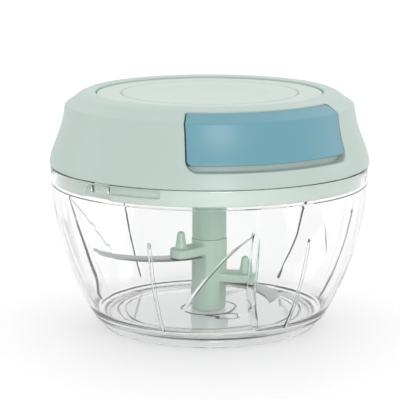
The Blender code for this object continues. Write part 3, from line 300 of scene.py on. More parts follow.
def add(owner: Material | World, kind: str, sockets: dict[str | int, Any] | None = None,
        **settings: Any) -> Node:
    """Add a shader node with its settings and links.

    Args:
        owner: The material or world that takes the node.
        kind: The node's type, without ShaderNode in front.
        sockets: What each input takes: a value, an output, or a node whose first output feeds it.
        settings: Properties of the node.

    Returns:
        The node.
    """
    tree = owner.node_tree
    node = tree.nodes.new("ShaderNode" + kind)
    for name, value in settings.items():
        setattr(node, name, value)
    for key, value in (sockets or {}).items():
        source = value.outputs[0] if isinstance(value, Node) else value
        if isinstance(source, NodeSocket):
            tree.links.new(source, node.inputs[key])
        else:
            node.inputs[key].default_value = source
    return node


def blank(name: str) -> Material:
    """Return a new material with an empty node tree."""
    material = bpy.data.materials.new(name)
    material.use_nodes = True
    material.node_tree.nodes.clear()
    return material


def per_mm(size: float) -> float:
    """Return the noise scale whose features are that many millimetres wide, in object space."""
    return 1.0 / (size * MM)


@dataclass(frozen=True)
class MouldedAbs:
    """ABS, injection moulded in a finely spark-eroded tool.

    To the eye it is an opaque satin: a soft broad highlight, a grain that is only felt as a slight
    unevenness in that highlight, and edges that are rounded a little by the tool.
    """

    name: str
    colour: str
    shade: str
    roughness: float = 0.38
    ior: float = 1.54
    grain_mm: float = 0.35
    flow_mm: float = 16.0
    edge_mm: float = 0.35

    def material(self) -> Material:
        """Build the satin moulded plastic.

        Returns:
            The material. Its grain is drawn at 0.35 mm, where the real one is near 0.05 mm, so
            that it shows at this picture's scale.
        """
        made = blank(self.name)
        place = add(made, "TexCoord").outputs["Object"]
        flow = add(made, "TexNoise", {"Vector": place, "Scale": per_mm(self.flow_mm), "Detail": 2.0})
        grain = add(made, "TexNoise", {"Vector": place, "Scale": per_mm(self.grain_mm), "Detail": 1.0})
        tint = add(made, "MixRGB", {"Fac": flow, "Color1": linear(self.colour), "Color2": linear(self.shade)})
        gloss = add(made, "MapRange", {"Value": grain, "To Min": self.roughness - 0.05,
                                       "To Max": self.roughness + 0.05})
        edge = add(made, "Bevel", {"Radius": self.edge_mm * MM}, samples=4)
        sink = add(made, "Bump", {"Height": flow, "Strength": 0.06, "Distance": 0.5 * MM, "Normal": edge})
        skin = add(made, "Bump", {"Height": grain, "Strength": 0.05, "Distance": 0.02 * MM, "Normal": sink})
        shader = add(made, "BsdfPrincipled", {"Base Color": tint, "Roughness": gloss, "IOR": self.ior,
                                              "Normal": skin})
        add(made, "OutputMaterial", {"Surface": shader})
        return made


@dataclass(frozen=True)
class ClearSan:
    """SAN, the clear styrene-acrylonitrile of kitchen bowls, moulded in a polished tool.

    To the eye it is colourless through its thickness and grey-green along it, so that it shows as
    dark lines at its silhouette, its steps and its ribs. Faint flow waves bend what lies behind it.
    """

    name: str
    colour: str = "fdfdfd"
    shadow_colour: str = "fcfcfc"
    depth_colour: str = "a9b3af"
    absorption: float = 8.0
    ior: float = 1.57
    roughness: float = 0.012
    wave_mm: float = 14.0

    def material(self) -> Material:
        """Build the clear moulded plastic.

        Returns:
            The material. Its shadow rays pass straight through, so that what is inside is lit.
        """
        made = blank(self.name)
        place = add(made, "TexCoord").outputs["Object"]
        wave = add(made, "TexNoise", {"Vector": place, "Scale": per_mm(self.wave_mm), "Detail": 1.0})
        bump = add(made, "Bump", {"Height": wave, "Strength": 0.12, "Distance": 0.4 * MM})
        shader = add(made, "BsdfPrincipled", {"Base Color": linear(self.colour), "Roughness": self.roughness,
                                              "IOR": self.ior, "Transmission Weight": 1.0, "Normal": bump})
        clear = add(made, "BsdfTransparent", {"Color": linear(self.shadow_colour)})
        shadow = add(made, "LightPath").outputs["Is Shadow Ray"]
        mixed = add(made, "MixShader", {0: shadow, 1: shader, 2: clear})
        depth = add(made, "VolumeAbsorption", {"Color": linear(self.depth_colour),
                                               "Density": self.absorption})
        add(made, "OutputMaterial", {"Surface": mixed, "Volume": depth})
        return made


@dataclass(frozen=True)
class GroundStainless:
    """Martensitic stainless steel strip, blanked and ground along its length.

    To the eye it is a cool grey metal whose highlight spreads across fine straight grinding lines.
    """

    name: str
    colour: str = "a6abab"
    roughness: float = 0.22
    line_mm: float = 0.12
    run_mm: float = 9.0

    def material(self) -> Material:
        """Build the ground steel.

        Returns:
            The material. Its lines are drawn 0.12 mm apart, where a 240 grit belt leaves 0.05 mm.
        """
        made = blank(self.name)
        place = add(made, "TexCoord").outputs["Object"]
        scales = (per_mm(self.run_mm), per_mm(self.line_mm), per_mm(self.line_mm))
        along = add(made, "Mapping", {"Vector": place, "Scale": scales})
        lines = add(made, "TexNoise", {"Vector": along, "Scale": 1.0, "Detail": 2.0})
        gloss = add(made, "MapRange", {"Value": lines, "To Min": self.roughness - 0.07,
                                       "To Max": self.roughness + 0.09})
        bump = add(made, "Bump", {"Height": lines, "Strength": 0.12, "Distance": 0.02 * MM})
        shader = add(made, "BsdfPrincipled", {"Base Color": linear(self.colour), "Metallic": 1.0,
                                              "Roughness": gloss, "Anisotropic": 0.4, "Normal": bump})
        add(made, "OutputMaterial", {"Surface": shader})
        return made


@dataclass(frozen=True)
class TurnedMetal:
    """A small turned or stamped metal part, such as a steel screw or a brass eyelet.

    To the eye it is a metal with faint rings from the tool and a duller film in its hollows.
    """

    name: str
    colour: str
    film: str
    roughness: float
    ring_mm: float = 0.25
    film_mm: float = 2.5

    def material(self) -> Material:
        """Build the turned metal.

        Returns:
            The material.
        """
        made = blank(self.name)
        place = add(made, "TexCoord").outputs["Object"]
        film = add(made, "TexNoise", {"Vector": place, "Scale": per_mm(self.film_mm), "Detail": 3.0})
        rings = add(made, "TexNoise", {"Vector": place, "Scale": per_mm(self.ring_mm), "Detail": 1.0})
        tint = add(made, "MixRGB", {"Fac": film, "Color1": linear(self.colour), "Color2": linear(self.film)})
        bump = add(made, "Bump", {"Height": rings, "Strength": 0.15, "Distance": 0.02 * MM})
        gloss = add(made, "MapRange", {"Value": film, "To Min": self.roughness - 0.08,
                                       "To Max": self.roughness + 0.12})
        shader = add(made, "BsdfPrincipled", {"Base Color": tint, "Metallic": 1.0, "Roughness": gloss,
                                              "Normal": bump})
        add(made, "OutputMaterial", {"Surface": shader})
        return made


@dataclass(frozen=True)
class MouldedSoft:
    """Silicone rubber or acetal: a moulding that light enters a little way.

    To the eye it is pale and soft-edged. Silicone is dull with a bloom, acetal is waxy.
    """

    name: str
    colour: str
    roughness: float
    ior: float
    depth_mm: float
    grain_mm: float = 0.5

    def material(self) -> Material:
        """Build the soft pale moulding.

        Returns:
            The material.
        """
        made = blank(self.name)
        place = add(made, "TexCoord").outputs["Object"]
        bloom = add(made, "TexNoise", {"Vector": place, "Scale": per_mm(self.grain_mm), "Detail": 3.0})
        gloss = add(made, "MapRange", {"Value": bloom, "To Min": self.roughness - 0.06,
                                       "To Max": self.roughness + 0.06})
        bump = add(made, "Bump", {"Height": bloom, "Strength": 0.08, "Distance": 0.03 * MM})
        shader = add(made, "BsdfPrincipled", {"Base Color": linear(self.colour), "IOR": self.ior,
                                              "Roughness": gloss, "Subsurface Weight": 0.3,
                                              "Subsurface Scale": self.depth_mm * MM, "Normal": bump})
        add(made, "OutputMaterial", {"Surface": shader})
        return made


@dataclass(frozen=True)
class BraidedNylon:
    """Nylon cord of twelve bright strands, braided over a core.

    To the eye it is a pale cord with a fine diamond pattern and a silky sheen.
    """

    name: str
    colour: str = "e9ebe8"
    # Painted shade: the gaps between the strands are darkened by this colour.
    painted_gap_shade: str = "a9b0ac"
    strand_mm: float = 0.55
    ior: float = 1.53

    def material(self) -> Material:
        """Build the braid.

        Returns:
            The material. Two crossed waves make the diamonds of the strands and paint shade into the gaps
            between them.
        """
        made = blank(self.name)
        place = add(made, "TexCoord").outputs["Object"]
        waves = []
        for turn in (1, -1):
            spun = add(made, "Mapping", {"Vector": place, "Rotation": (0.6 * turn, 0.0, 45 * DEG * turn)})
            wave = add(made, "TexWave", {"Vector": spun, "Scale": per_mm(self.strand_mm) / 20,
                                         "Distortion": 0.0})
            waves.append(wave.outputs["Fac"])
        weave = add(made, "Math", {0: waves[0], 1: waves[1]}, operation="MULTIPLY")
        tint = add(made, "MixRGB", {"Fac": weave, "Color1": linear(self.painted_gap_shade),
                                    "Color2": linear(self.colour)})
        bump = add(made, "Bump", {"Height": weave, "Strength": 0.5, "Distance": 0.1 * MM})
        shader = add(made, "BsdfPrincipled", {"Base Color": tint, "Roughness": 0.55, "IOR": self.ior,
                                              "Sheen Weight": 0.3, "Sheen Roughness": 0.4, "Normal": bump})
        add(made, "OutputMaterial", {"Surface": shader})
        return made


class Finish(Enum):
    """The chopper's finishes, each with the record's material slot that it belongs to."""

    CLEAR = ("clear_plastic", ClearSan("clear_san_polished"))
    MINT = ("mint_plastic", MouldedAbs("mint_abs_satin", "b5c4be", "b1c2bb"))
    # A paler copy of the mint: painted light on the top disc, which faces the overhead lamp.
    MINT_TOP_PAINTED_LIGHT = ("mint_plastic", MouldedAbs("mint_abs_top_disc_painted_light", "c3cfc9", "bfccc4", roughness=0.42))
    # A paler copy of the mint: painted light on the lid's base, whose skirt sits in the shade under the lid's
    # edge and behind the bowl's rim.
    MINT_BASE_PAINTED_LIGHT = ("mint_plastic", MouldedAbs("mint_abs_lid_base_painted_light", "c6d6cd", "c2d3ca", roughness=0.32))
    MINT_SHAFT = ("mint_plastic", MouldedAbs("mint_abs_shaft", "abc6b6", "a6c2b1", roughness=0.29))
    # A darker copy of the mint: painted shade on the drive sleeve, which hangs in the shade under the lid.
    MINT_SLEEVE_PAINTED_SHADE = ("mint_plastic", MouldedAbs("mint_abs_sleeve_painted_shade", "a1beae", "9cbaa9", roughness=0.29))
    BLUE = ("blue_plastic", MouldedAbs("blue_abs_satin", "6599a7", "6296a4", roughness=0.36))
    WHITE = ("white_plastic", MouldedSoft("white_acetal", "e6e6e1", 0.35, 1.48, 1.0))
    SILICONE = ("silicone", MouldedSoft("clear_silicone", "dfe4e1", 0.55, 1.41, 2.0))
    BLADE = ("blade_steel", GroundStainless("ground_stainless"))
    STEEL = ("spring_steel", TurnedMetal("turned_steel", "a8abad", "8b8e91", 0.3))
    BRASS = ("brass", TurnedMetal("drawn_brass", "cfa75a", "a8823f", 0.26))
    CORD = ("cord_nylon", BraidedNylon("braided_nylon"))

    @property
    def slot(self) -> str:
        """The record's material slot."""
        return self.value[0]

    @property
    def material(self) -> Material:
        """The finish's material, made the first time that it is asked for."""
        return bpy.data.materials.get(self.value[1].name) or self.value[1].material()


class Workshop:
    """Puts meshes into the scene, cuts them, dresses them and lets them ride on their bodies."""

    def __init__(self) -> None:
        """Start with an empty list of pieces."""
        self.pieces: list[Object] = []

    def loose(self, mesh: Mesh) -> Object:
        """Link a mesh to the scene as an object of the same name.

        Args:
            mesh: The mesh.

        Returns:
            The object.
        """
        made = bpy.data.objects.new(mesh.name, mesh)
        bpy.context.scene.collection.objects.link(made)
        return made

    def shape(self, target: Object, operation: str, *tools: Mesh) -> None:
        """Join solids on or cut them out, exactly, and leave a plain mesh.

        Args:
            target: The object that is shaped.
            operation: UNION or DIFFERENCE.
            tools: The solids to join or cut, which are used up.
        """
        for mesh in tools:
            tool = self.loose(mesh)
            step = target.modifiers.new("shape", "BOOLEAN")
            step.operation = operation
            step.solver = "EXACT"
            step.object = tool
            view = bpy.context.evaluated_depsgraph_get()
            baked = bpy.data.meshes.new_from_object(target.evaluated_get(view))
            target.modifiers.clear()
            old, name = target.data, target.data.name
            target.data = baked
            bpy.data.meshes.remove(old)
            baked.name = name
            bpy.data.objects.remove(tool, do_unlink=True)
            bpy.data.meshes.remove(mesh)

    def fit(self, piece: Object, body: str, finish: Finish, node: str) -> None:
        """Dress a piece, let it ride on its body and stand for a CAD node.

        Args:
            piece: The object.
            body: Name of the CAD body that carries it.
            finish: Its finish.
            node: The CAD node that it replaces.
        """
        piece.data.materials.clear()
        piece.data.materials.append(finish.material)
        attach(piece, body)
        finish.slot
        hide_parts(node)
        self.report(piece, body)

    def report(self, piece: Object, carrier: str) -> None:
        """Note a piece and what carries it."""
        self.pieces.append(piece)
        LOG.info("%s: %d faces on %s", piece.name, len(piece.data.polygons), carrier)

    def dress(self, finish: Finish, *nodes: str) -> None:
        """Give CAD nodes their finish.

        Args:
            finish: The finish.
            nodes: Names of the nodes.
        """
        for node in nodes:
            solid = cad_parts[node]
            solid.data.materials.clear()
            solid.data.materials.append(finish.material)
            solid.data.set_sharp_from_angle(angle=35 * DEG)
            LOG.info("%s: CAD solid in %s", node, finish.material.name)


# Sub-assemblies


@dataclass
class ClearBowl:
    """The clear bowl with its foot, ribs, swept baffles, pin boss, rim band and lugs."""

    shop: Workshop
    height: float = 63.9 * MM
    rim_radius: float = 62.2 * MM
    rim_wall: float = 2.0 * MM
    rim_band: float = 6.8 * MM
    band_step: float = 0.4 * MM
    band_cut: float = 0.85 * MM
    wall: float = 1.6 * MM
    bulge: float = 3.4 * MM
    belly_foot: Point = (46.2 * MM, 4.6 * MM)
    foot_radius: float = 42.3 * MM
    foot_height: float = 3.2 * MM
    foot_wall: float = 2.0 * MM
    floor_top: float = 4.5 * MM
    floor_thick: float = 1.2 * MM
    floor_radius: float = 37.4 * MM
    fillet: float = 4.5 * MM
    floor_rings: tuple[float, ...] = (11.0 * MM, 33.6 * MM, 36.2 * MM)
    ring_width: float = 1.0 * MM
    ring_depth: float = 0.25 * MM
    boss_radius: float = 4.2 * MM
    boss_height: float = 7.5 * MM
    pin_hole: float = 2.3 * MM
    rib_azimuths: tuple[float, ...] = spread(-22, 6)
    rib_width: float = 1.2 * MM
    rib_depth: float = 0.8 * MM
    rib_span: Point = (6.8 * MM, 43.0 * MM)
    baffle_azimuths: tuple[float, ...] = spread(15.7)
    baffle_span: Point = (5.0 * MM, 48.0 * MM)
    baffle_lean: float = 6.0 * DEG
    baffle_sweep: float = 36.0 * DEG
    baffle_depth: float = 3.8 * MM
    baffle_edge: float = 2.0 * DEG
    baffle_step: float = 0.6 * MM
    baffle_columns: tuple[float, ...] = (-36.2 * DEG, -12.0 * DEG, 18.0 * DEG)
    dent_shift: float = 1.0 * DEG
    lug_azimuths: tuple[float, ...] = spread(-41.5)
    lug_width: float = 7.5 * DEG
    lug_depth: float = 1.8 * MM
    lug_span: Point = (60.375 * MM, 62.675 * MM)

    def __post_init__(self) -> None:
        """Work out where the rim band starts and the rim's inner radius."""
        self.band_z = self.height - self.rim_band
        self.rim_inner = self.rim_radius - self.rim_wall

    def belly(self, z: float, inset: float = 0.0) -> float:
        """Read the bulging wall's radius.

        Args:
            z: Height.
            inset: Distance in from the outer face.

        Returns:
            The radius.
        """
        low = Vector(self.belly_foot)
        high = Vector((self.rim_radius - self.band_step, self.band_z))
        chord = high - low
        radius = ((chord.length / 2) ** 2 + self.bulge**2) / (2 * self.bulge)
        inward = Vector((-chord.y, chord.x)).normalized()
        centre = (low + high) / 2 + inward * (radius - self.bulge)
        return centre.x + math.sqrt((radius - inset) ** 2 - (z - centre.y) ** 2)

    def inner_line(self) -> list[Point]:
        """Draw the inside from the pin hole over boss, floor, fillet and wall to the rim.

        Returns:
            Radius and height of each point, about a millimetre apart on the wall.
        """
        floor = self.floor_top
        low = floor - 1 * MM
        boss_top = floor + self.boss_height
        line = rounded([(0.0, low, 0), (self.pin_hole, low, 0), (self.pin_hole, boss_top, 0.3 * MM),
                        (self.boss_radius, boss_top, 0.6 * MM), (self.boss_radius, floor, 1.0 * MM),
                        (self.boss_radius + 2 * MM, floor, 0)])
        half = self.ring_width / 2
        for ring in self.floor_rings:
            line += rounded([(ring - 2 * half, floor, 0), (ring - half, floor, 0.3 * MM),
                             (ring, floor - self.ring_depth, 0.3 * MM), (ring + half, floor, 0.3 * MM),
                             (ring + 2 * half, floor, 0)], 3)
        fillet_z = floor + self.fillet
        wall_foot = self.belly(fillet_z, self.wall)
        near = (self.floor_radius + 2 * wall_foot) / 3
        line += bezier([(self.floor_radius, floor), (near, floor), (wall_foot, fillet_z)], 14)
        count = 48
        heights = [fillet_z + (self.band_z - fillet_z) * step / count for step in range(1, count + 1)]
        line += [(self.belly(z, self.wall), z) for z in heights]
        low_lug, high_lug = self.lug_span
        edge = 0.15 * MM
        rim = [self.band_z + 1.4 * MM, low_lug - edge, low_lug, low_lug + edge, (low_lug + high_lug) / 2,
               high_lug - edge, high_lug, high_lug + edge]
        return line + [(self.rim_inner, z) for z in rim]

    def outer_line(self) -> list[Point]:
        """Draw the outside from the rim over the band, belly and foot to the underside's centre.

        Returns:
            Radius and height of each point.
        """
        band_z = self.band_z
        soft = 0.5 * MM
        line = rounded([(self.rim_inner, self.height - 1.0 * MM, 0), (self.rim_inner, self.height, soft),
                        (self.rim_radius, self.height, soft), (self.rim_radius, band_z, 0.08 * MM),
                        (self.rim_radius - self.band_cut, band_z - 0.02 * MM, 0.03 * MM),
                        (self.rim_radius - self.band_step, band_z - 0.45 * MM, 0.1 * MM),
                        (self.belly(band_z - 1.5 * MM), band_z - 1.5 * MM, 0)])
        count = 44
        foot_r, foot_z = self.belly_foot
        top = band_z - 2.5 * MM
        heights = [top + (foot_z - top) * step / count for step in range(count + 1)]
        line += [(self.belly(z), z) for z in heights]
        under = self.floor_top - self.floor_thick
        ring_inner = self.foot_radius - self.foot_wall
        line += rounded([(foot_r - 0.15 * MM, foot_z - 0.3 * MM, 0),
                         (foot_r - 0.9 * MM, self.foot_height + 0.5 * MM, 0.8 * MM),
                         (self.foot_radius, self.foot_height, 0.8 * MM), (self.foot_radius, 0.0, 0.45 * MM),
                         (ring_inner, 0.0, 0.45 * MM), (ring_inner, under, 0.6 * MM),
                         (ring_inner - 4 * MM, under, 0), (0.0, under, 0)])
        return line

    def baffle_line(self, z: float) -> Point:
        """Tell where a baffle begins and ends at a height, from its own azimuth.

        Args:
            z: Height.

        Returns:
            The angles of its swept crease and of its steep edge.
        """
        low, high = self.baffle_span
        share = min(max((z - low) / (high - low), 0.0), 1.0)
        lean = self.baffle_lean * max(0.0, 1 - share / 0.48) ** 1.3
        sweep = max(self.baffle_sweep * (1 - share) ** 0.7 - 2.5 * DEG, 0.5 * DEG)
        return -sweep, lean

    def baffle(self, azimuth: float, z: float) -> float:
        """Tell how far a baffle stands in: steep at its edge, swept out behind it.

        Args:
            azimuth: Azimuth of the place.
            z: Height of the place.

        Returns:
            The distance that the wall stands in.
        """
        share = (z - self.baffle_span[0]) / (self.baffle_span[1] - self.baffle_span[0])
        if not 0 < share < 1:
            return 0.0
        crease, edge = self.baffle_line(z)
        depth = self.baffle_depth * (1 - share) ** 0.55 * smooth(0.0, 0.22, share)
        step = self.baffle_step * smooth(0.3, 0.5, share) * (1 - share) ** 0.7
        most = 0.0
        for middle in self.baffle_azimuths:
            place = math.remainder(azimuth - middle, TURN)
            if crease < place <= edge:
                ramp = ((place - crease) / (edge - crease)) ** 1.15
                first = min((place - crease) / (0.5 * DEG), 1.0)
                most = max(most, step * first + (depth - step) * ramp)
            elif edge < place < edge + self.baffle_edge:
                most = max(most, depth * (1 - (place - edge) / self.baffle_edge))
        return most

    def follow(self, place: float, z: float) -> float:
        """Lead a column of the wall along the baffles, so that their lines stay clean.

        Args:
            place: Azimuth of the column away from the baffles.
            z: Height.

        Returns:
            The column's azimuth at that height.
        """
        crease, edge = self.baffle_line(z)
        first, middle_column, last = self.baffle_columns
        knots = ((first, first), (middle_column, crease), (0.0, edge),
                 (self.baffle_edge, edge + self.baffle_edge), (last, last))
        for middle in self.baffle_azimuths:
            turn = math.remainder(place - middle, TURN)
            for (near, start), (far, stop) in zip(knots, knots[1:]):
                if near <= turn < far:
                    return middle + start + (stop - start) * (turn - near) / (far - near)
        return place

    def rise(self, azimuth: float, radius: float, z: float) -> float:
        """Tell how far ribs, baffles and lugs stand in from the inner wall.

        Args:
            azimuth: Azimuth of the place.
            radius: Radius of the bare wall there.
            z: Height of the place.

        Returns:
            The distance that the wall's surface stands in.
        """
        low, high = self.rib_span
        ends = smooth(low, low + 2 * MM, z) * (1 - smooth(high - 1.2 * MM, high, z))
        most = self.baffle(azimuth, z)
        for middle in self.rib_azimuths:
            across = abs(math.remainder(azimuth - middle, TURN)) * radius
            side = 1 - smooth(self.rib_width * 0.3, self.rib_width * 0.62, across)
            most = max(most, self.rib_depth * ends * side)
        low, high = self.lug_span
        if low - 0.1 * MM < z < high + 0.1 * MM:
            for middle in self.lug_azimuths:
                across = abs(math.remainder(azimuth - middle, TURN))
                side = 1 - smooth(self.lug_width / 2 - 0.4 * DEG, self.lug_width / 2, across)
                most = max(most, self.lug_depth * side)
        return most

    def azimuths(self) -> list[float]:
        """List where to read the wall: evenly, and closer together at every edge.

        Returns:
            Azimuths in rising order, once round.
        """
        places = [k * 1.5 * DEG for k in range(240)]
        for middle in self.rib_azimuths:
            places += [middle + k * 0.13 * DEG for k in range(-7, 8)]
        for edge in self.baffle_azimuths:
            crease = edge + self.baffle_columns[1]
            places += [crease + turn * DEG for turn in (-0.3, 0.0, 0.1, 0.25, 0.4, 0.5, 0.6, 0.8, 1.1)]
            places += [edge + turn * DEG for turn in (-0.6, -0.3, -0.1, 0.0, 0.1, 0.3)]
            places += [edge + self.baffle_edge * k / 8 for k in range(1, 11)]
        for middle in self.lug_azimuths:
            for side in (-1, 1):
                places += [middle + side * (self.lug_width / 2 - k * 0.1 * DEG) for k in range(5)]
        turned = sorted(place % TURN for place in places)
        following = turned[1:] + [2 * TURN]
        return [place for place, after in zip(turned, following) if after - place > 0.03 * DEG]

    def build(self) -> None:
        """Shape the bowl as one closed skin, azimuth by azimuth, and dress the pin that stands in it."""
        inner = self.inner_line()
        outer = self.outer_line()
        normals = []
        for index in range(len(inner)):
            before = Vector(inner[max(index - 1, 0)])
            along = (Vector(inner[min(index + 1, len(inner) - 1)]) - before).normalized()
            normals.append(Vector((-along.y, along.x)))
        loops = []
        for azimuth in self.azimuths():
            loop = []
            for (radius, z), normal in zip(inner, normals):
                led = self.follow(azimuth, z)
                out = self.rise(led, radius, z) if radius > self.floor_radius else 0.0
                loop.append(polar(radius + normal.x * out, led, z + normal.y * out))
            for radius, z in outer:
                led = self.follow(azimuth, z)
                back = self.dent_shift * min(1.0, (self.height - z) / (12 * MM))
                loop.append(polar(radius - self.baffle(led, z), led - back, z))
            loops.append(loop)
        bowl = self.shop.loose(skinned("clear_bowl", loops, ring=True, sharp=60 * DEG))
        self.shop.fit(bowl, "bowl", Finish.CLEAR, "bowl")
        self.shop.dress(Finish.STEEL, "pivot_pin")


@dataclass
class BladeUnit:
    """The moulded shaft with its arms, pegs and keys, and the three sickle blades under the arms."""

    shop: Workshop
    bottom: float = 4.8 * MM
    top: float = 33.6 * MM
    radius: float = 7.0 * MM
    socket: Point = (4.5 * MM, 12.6 * MM)
    bore: Point = (2.3 * MM, 30.6 * MM)
    spigot: Point = (3.6 * MM, 50.0 * MM)
    key_tip: float = 5.5 * MM
    key_width: float = 3.0 * MM
    key_azimuth: float = 20.0 * DEG
    reach: float = 15.0 * MM
    arm_half_width: float = 4.3 * MM
    arm_thick: float = 3.4 * MM
    arm_levels: tuple[float, ...] = (27.9 * MM, 16.4 * MM, 7.1 * MM)
    arm_azimuths: tuple[float, ...] = spread(-47.7)
    peg_radius: float = 2.25 * MM
    peg_top_radius: float = 1.5 * MM
    peg_height: float = 6.8 * MM
    soft: float = 0.5 * MM
    gap: float = 0.3 * MM
    stake_radius: float = 1.5 * MM
    blade_names: tuple[str, ...] = ("blade_upper", "blade_middle", "blade_lower")
    blade_thick: float = 0.8 * MM
    blade_width: float = 9.0 * MM
    blade_curve: float = 29.0 * MM
    blade_centre: Point = (5.0 * MM, -28.0 * MM)
    blade_root: float = 85.0 * DEG
    blade_tips: tuple[float, ...] = (-17.0 * DEG, 6.0 * DEG, 8.0 * DEG)
    tip_inset: float = 2.0 * MM
    ground: float = 1.8 * MM
    edge_thick: float = 0.12 * MM
    edge_sharp: float = 12 * DEG

    def arm_mesh(self, azimuth: float, level: float) -> Mesh:
        """Shape an arm: a bar from the shaft that ends in a half round, with a soft top edge.

        Args:
            azimuth: Azimuth of its peg.
            level: Height of its underside.

        Returns:
            The arm's mesh.
        """
        soft = self.soft
        rows = [(soft / 2, 0.0), (0.0, soft / 2)]
        rows += [(soft * (1 - math.cos(k * 18 * DEG)), self.arm_thick - soft + soft * math.sin(k * 18 * DEG))
                 for k in range(6)]
        root = self.radius * 0.75
        turn = Matrix.Rotation(azimuth - math.pi / 2, 2)
        loops = []
        for inset, rise in rows:
            half = self.arm_half_width - inset
            tip = Vector((self.reach, 0.0))
            plan = [tip + Vector((math.cos(a), math.sin(a))) * half
                    for a in (math.pi * (k / 24 - 0.5) for k in range(25))]
            plan += [Vector((root, half)), Vector((root, -half))]
            loops.append([(turn @ point).to_3d() + Vector((0, 0, level + rise)) for point in plan])
        return skinned("arm", loops)

    def peg_mesh(self, azimuth: float, level: float) -> Mesh:
        """Shape a tapered peg with a domed top and a soft root.

        Args:
            azimuth: Azimuth of the peg.
            level: Height of its arm's underside.

        Returns:
            The peg's mesh.
        """
        foot = level + self.arm_thick
        top = foot + self.peg_height
        dome = self.peg_top_radius * 0.8
        soft = self.soft
        line = [(0.0, foot - soft), (self.peg_radius + soft, foot - soft)]
        line += [(self.peg_radius + soft * (1 - math.sin(k * 22.5 * DEG)),
                  foot + soft * (1 - math.cos(k * 22.5 * DEG))) for k in range(5)]
        line += [(self.peg_top_radius - dome * (1 - math.cos(k * 15 * DEG)),
                  top - dome * (1 - math.sin(k * 15 * DEG))) for k in range(7)]
        return lathed("peg", line + [(0.0, top + 0.01 * MM)], 48, polar(self.reach, azimuth))

    def shaft(self) -> Object:
        """Join shaft, arms, pegs, stakes and keys into one moulding.

        Returns:
            The moulding's object.
        """
        spigot_radius, spigot_top = self.spigot
        line = rounded([(0.0, spigot_top, 0), (spigot_radius, spigot_top, self.soft),
                        (spigot_radius, self.top, 0.4 * MM), (self.radius, self.top, 0.15 * MM),
                        (self.radius, self.bottom, 0.5 * MM), (self.socket[0], self.bottom, 0.2 * MM),
                        (*self.socket, 0), (self.bore[0], self.socket[1], 0), (*self.bore, 0),
                        (0.0, self.bore[1], 0)], 4)
        moulding = self.shop.loose(lathed("blade_shaft_moulding", line, 96))
        tools: list[Mesh] = []
        for azimuth, level in zip(self.arm_azimuths, self.arm_levels):
            low = level - 2 * self.gap - self.blade_thick
            high = level + 1 * MM
            wide = self.stake_radius
            stake = [(0.0, low), (wide - 0.3 * MM, low), (wide, low + 0.3 * MM), (wide, high), (0.0, high)]
            tools += [self.arm_mesh(azimuth, level), self.peg_mesh(azimuth, level),
                      lathed("stake", stake, 32, polar(self.reach, azimuth))]
        tools += keys(self.key_azimuth, spigot_radius / 2, self.key_tip, self.key_width, self.top + 2 * MM,
                      spigot_top - 0.6 * MM)
        self.shop.shape(moulding, "UNION", *tools)
        return moulding

    def blade_plan(self, tip: float, inset: float) -> list[Point]:
        """Draw a blade's plan in its own frame, its peg along +X.

        Args:
            tip: Angle of the tip on the blade's centre line.
            inset: How far the convex cutting edge is moved in.

        Returns:
            The plan's points: convex edge from root to tip, then the back.
        """
        count = 40
        outer: list[Point] = []
        back: list[Point] = []
        for step in range(count):
            t = step / (count - 1)
            angle = self.blade_root + (tip - self.blade_root) * t
            rear = -self.blade_width / 2 + self.tip_inset * t**3
            out = self.blade_width / 2 + (self.tip_inset - self.blade_width) * t**2.5
            for reach, line in ((max(out - inset, rear + 0.15 * MM), outer), (rear, back)):
                line.append((self.blade_centre[0] + (self.blade_curve + reach) * math.cos(angle),
                             self.blade_centre[1] + (self.blade_curve + reach) * math.sin(angle)))
        return outer + back[::-1]

    def blade(self, index: int) -> Object:
        """Shape a blade with its convex edge ground to an edge from both faces.

        Args:
            index: 0 for the upper, 1 for the middle and 2 for the lower blade.

        Returns:
            The blade's object.
        """
        top = self.arm_levels[index] - self.gap
        low = top - self.blade_thick
        middle = top - self.blade_thick / 2
        half = self.edge_thick / 2
        flat = self.blade_plan(self.blade_tips[index], self.ground)
        edge = self.blade_plan(self.blade_tips[index], 0.0)
        loops = [[Vector((x, y, z)) for x, y in plan]
                 for plan, z in ((flat, low), (edge, middle - half), (edge, middle + half), (flat, top))]
        piece = self.shop.loose(skinned(self.blade_names[index] + "_ground", loops, sharp=self.edge_sharp))
        hole = plug("hole", self.stake_radius + self.gap, low - 1 * MM, top + 1 * MM, (self.reach, 0.0))
        self.shop.shape(piece, "DIFFERENCE", hole)
        piece.data.set_sharp_from_angle(angle=self.edge_sharp)
        piece.rotation_euler.z = self.arm_azimuths[index] - math.pi / 2
        return piece

    def build(self) -> None:
        """Build the shaft and its blades."""
        self.shop.fit(self.shaft(), "blades", Finish.MINT_SHAFT, "blade_shaft")
        for index, node in enumerate(self.blade_names):
            self.shop.fit(self.blade(index), "blades", Finish.BLADE, node)


@dataclass
class LidSide:
    """The waisted line that the lid's shell and the pull handle share."""

    radius: float = 62.5 * MM
    edge: float = 64.2 * MM
    shoulder: Point = (56.4 * MM, 86.6 * MM)
    crest: Point = (51.5 * MM, 90.5 * MM)

    def curve(self, inset: float, count: int) -> list[Point]:
        """Read the side from its wide lower edge up to its shoulder.

        Args:
            inset: Distance in from the face.
            count: How many points to read.

        Returns:
            Radius and height of each point.
        """
        foot = self.edge + 0.4 * MM
        rise = self.shoulder[1] - foot
        control = [(self.radius, foot), (self.radius - 0.2 * MM, foot + rise * 0.245),
                   (self.shoulder[0] + 0.8 * MM, foot + rise * 0.564), self.shoulder]
        return [(radius - inset, z) for radius, z in bezier(control, count)]

    def at(self, z: float, inset: float = 0.0) -> float:
        """Read the side's radius at a height.

        Args:
            z: Height.
            inset: Distance in from the face.

        Returns:
            The radius.
        """
        line = self.curve(inset, 81)
        for (r0, z0), (r1, z1) in zip(line, line[1:]):
            if z0 <= z <= z1:
                return r0 + (r1 - r0) * (z - z0) / (z1 - z0)
        return line[-1][0] if z > line[-1][1] else line[0][0]


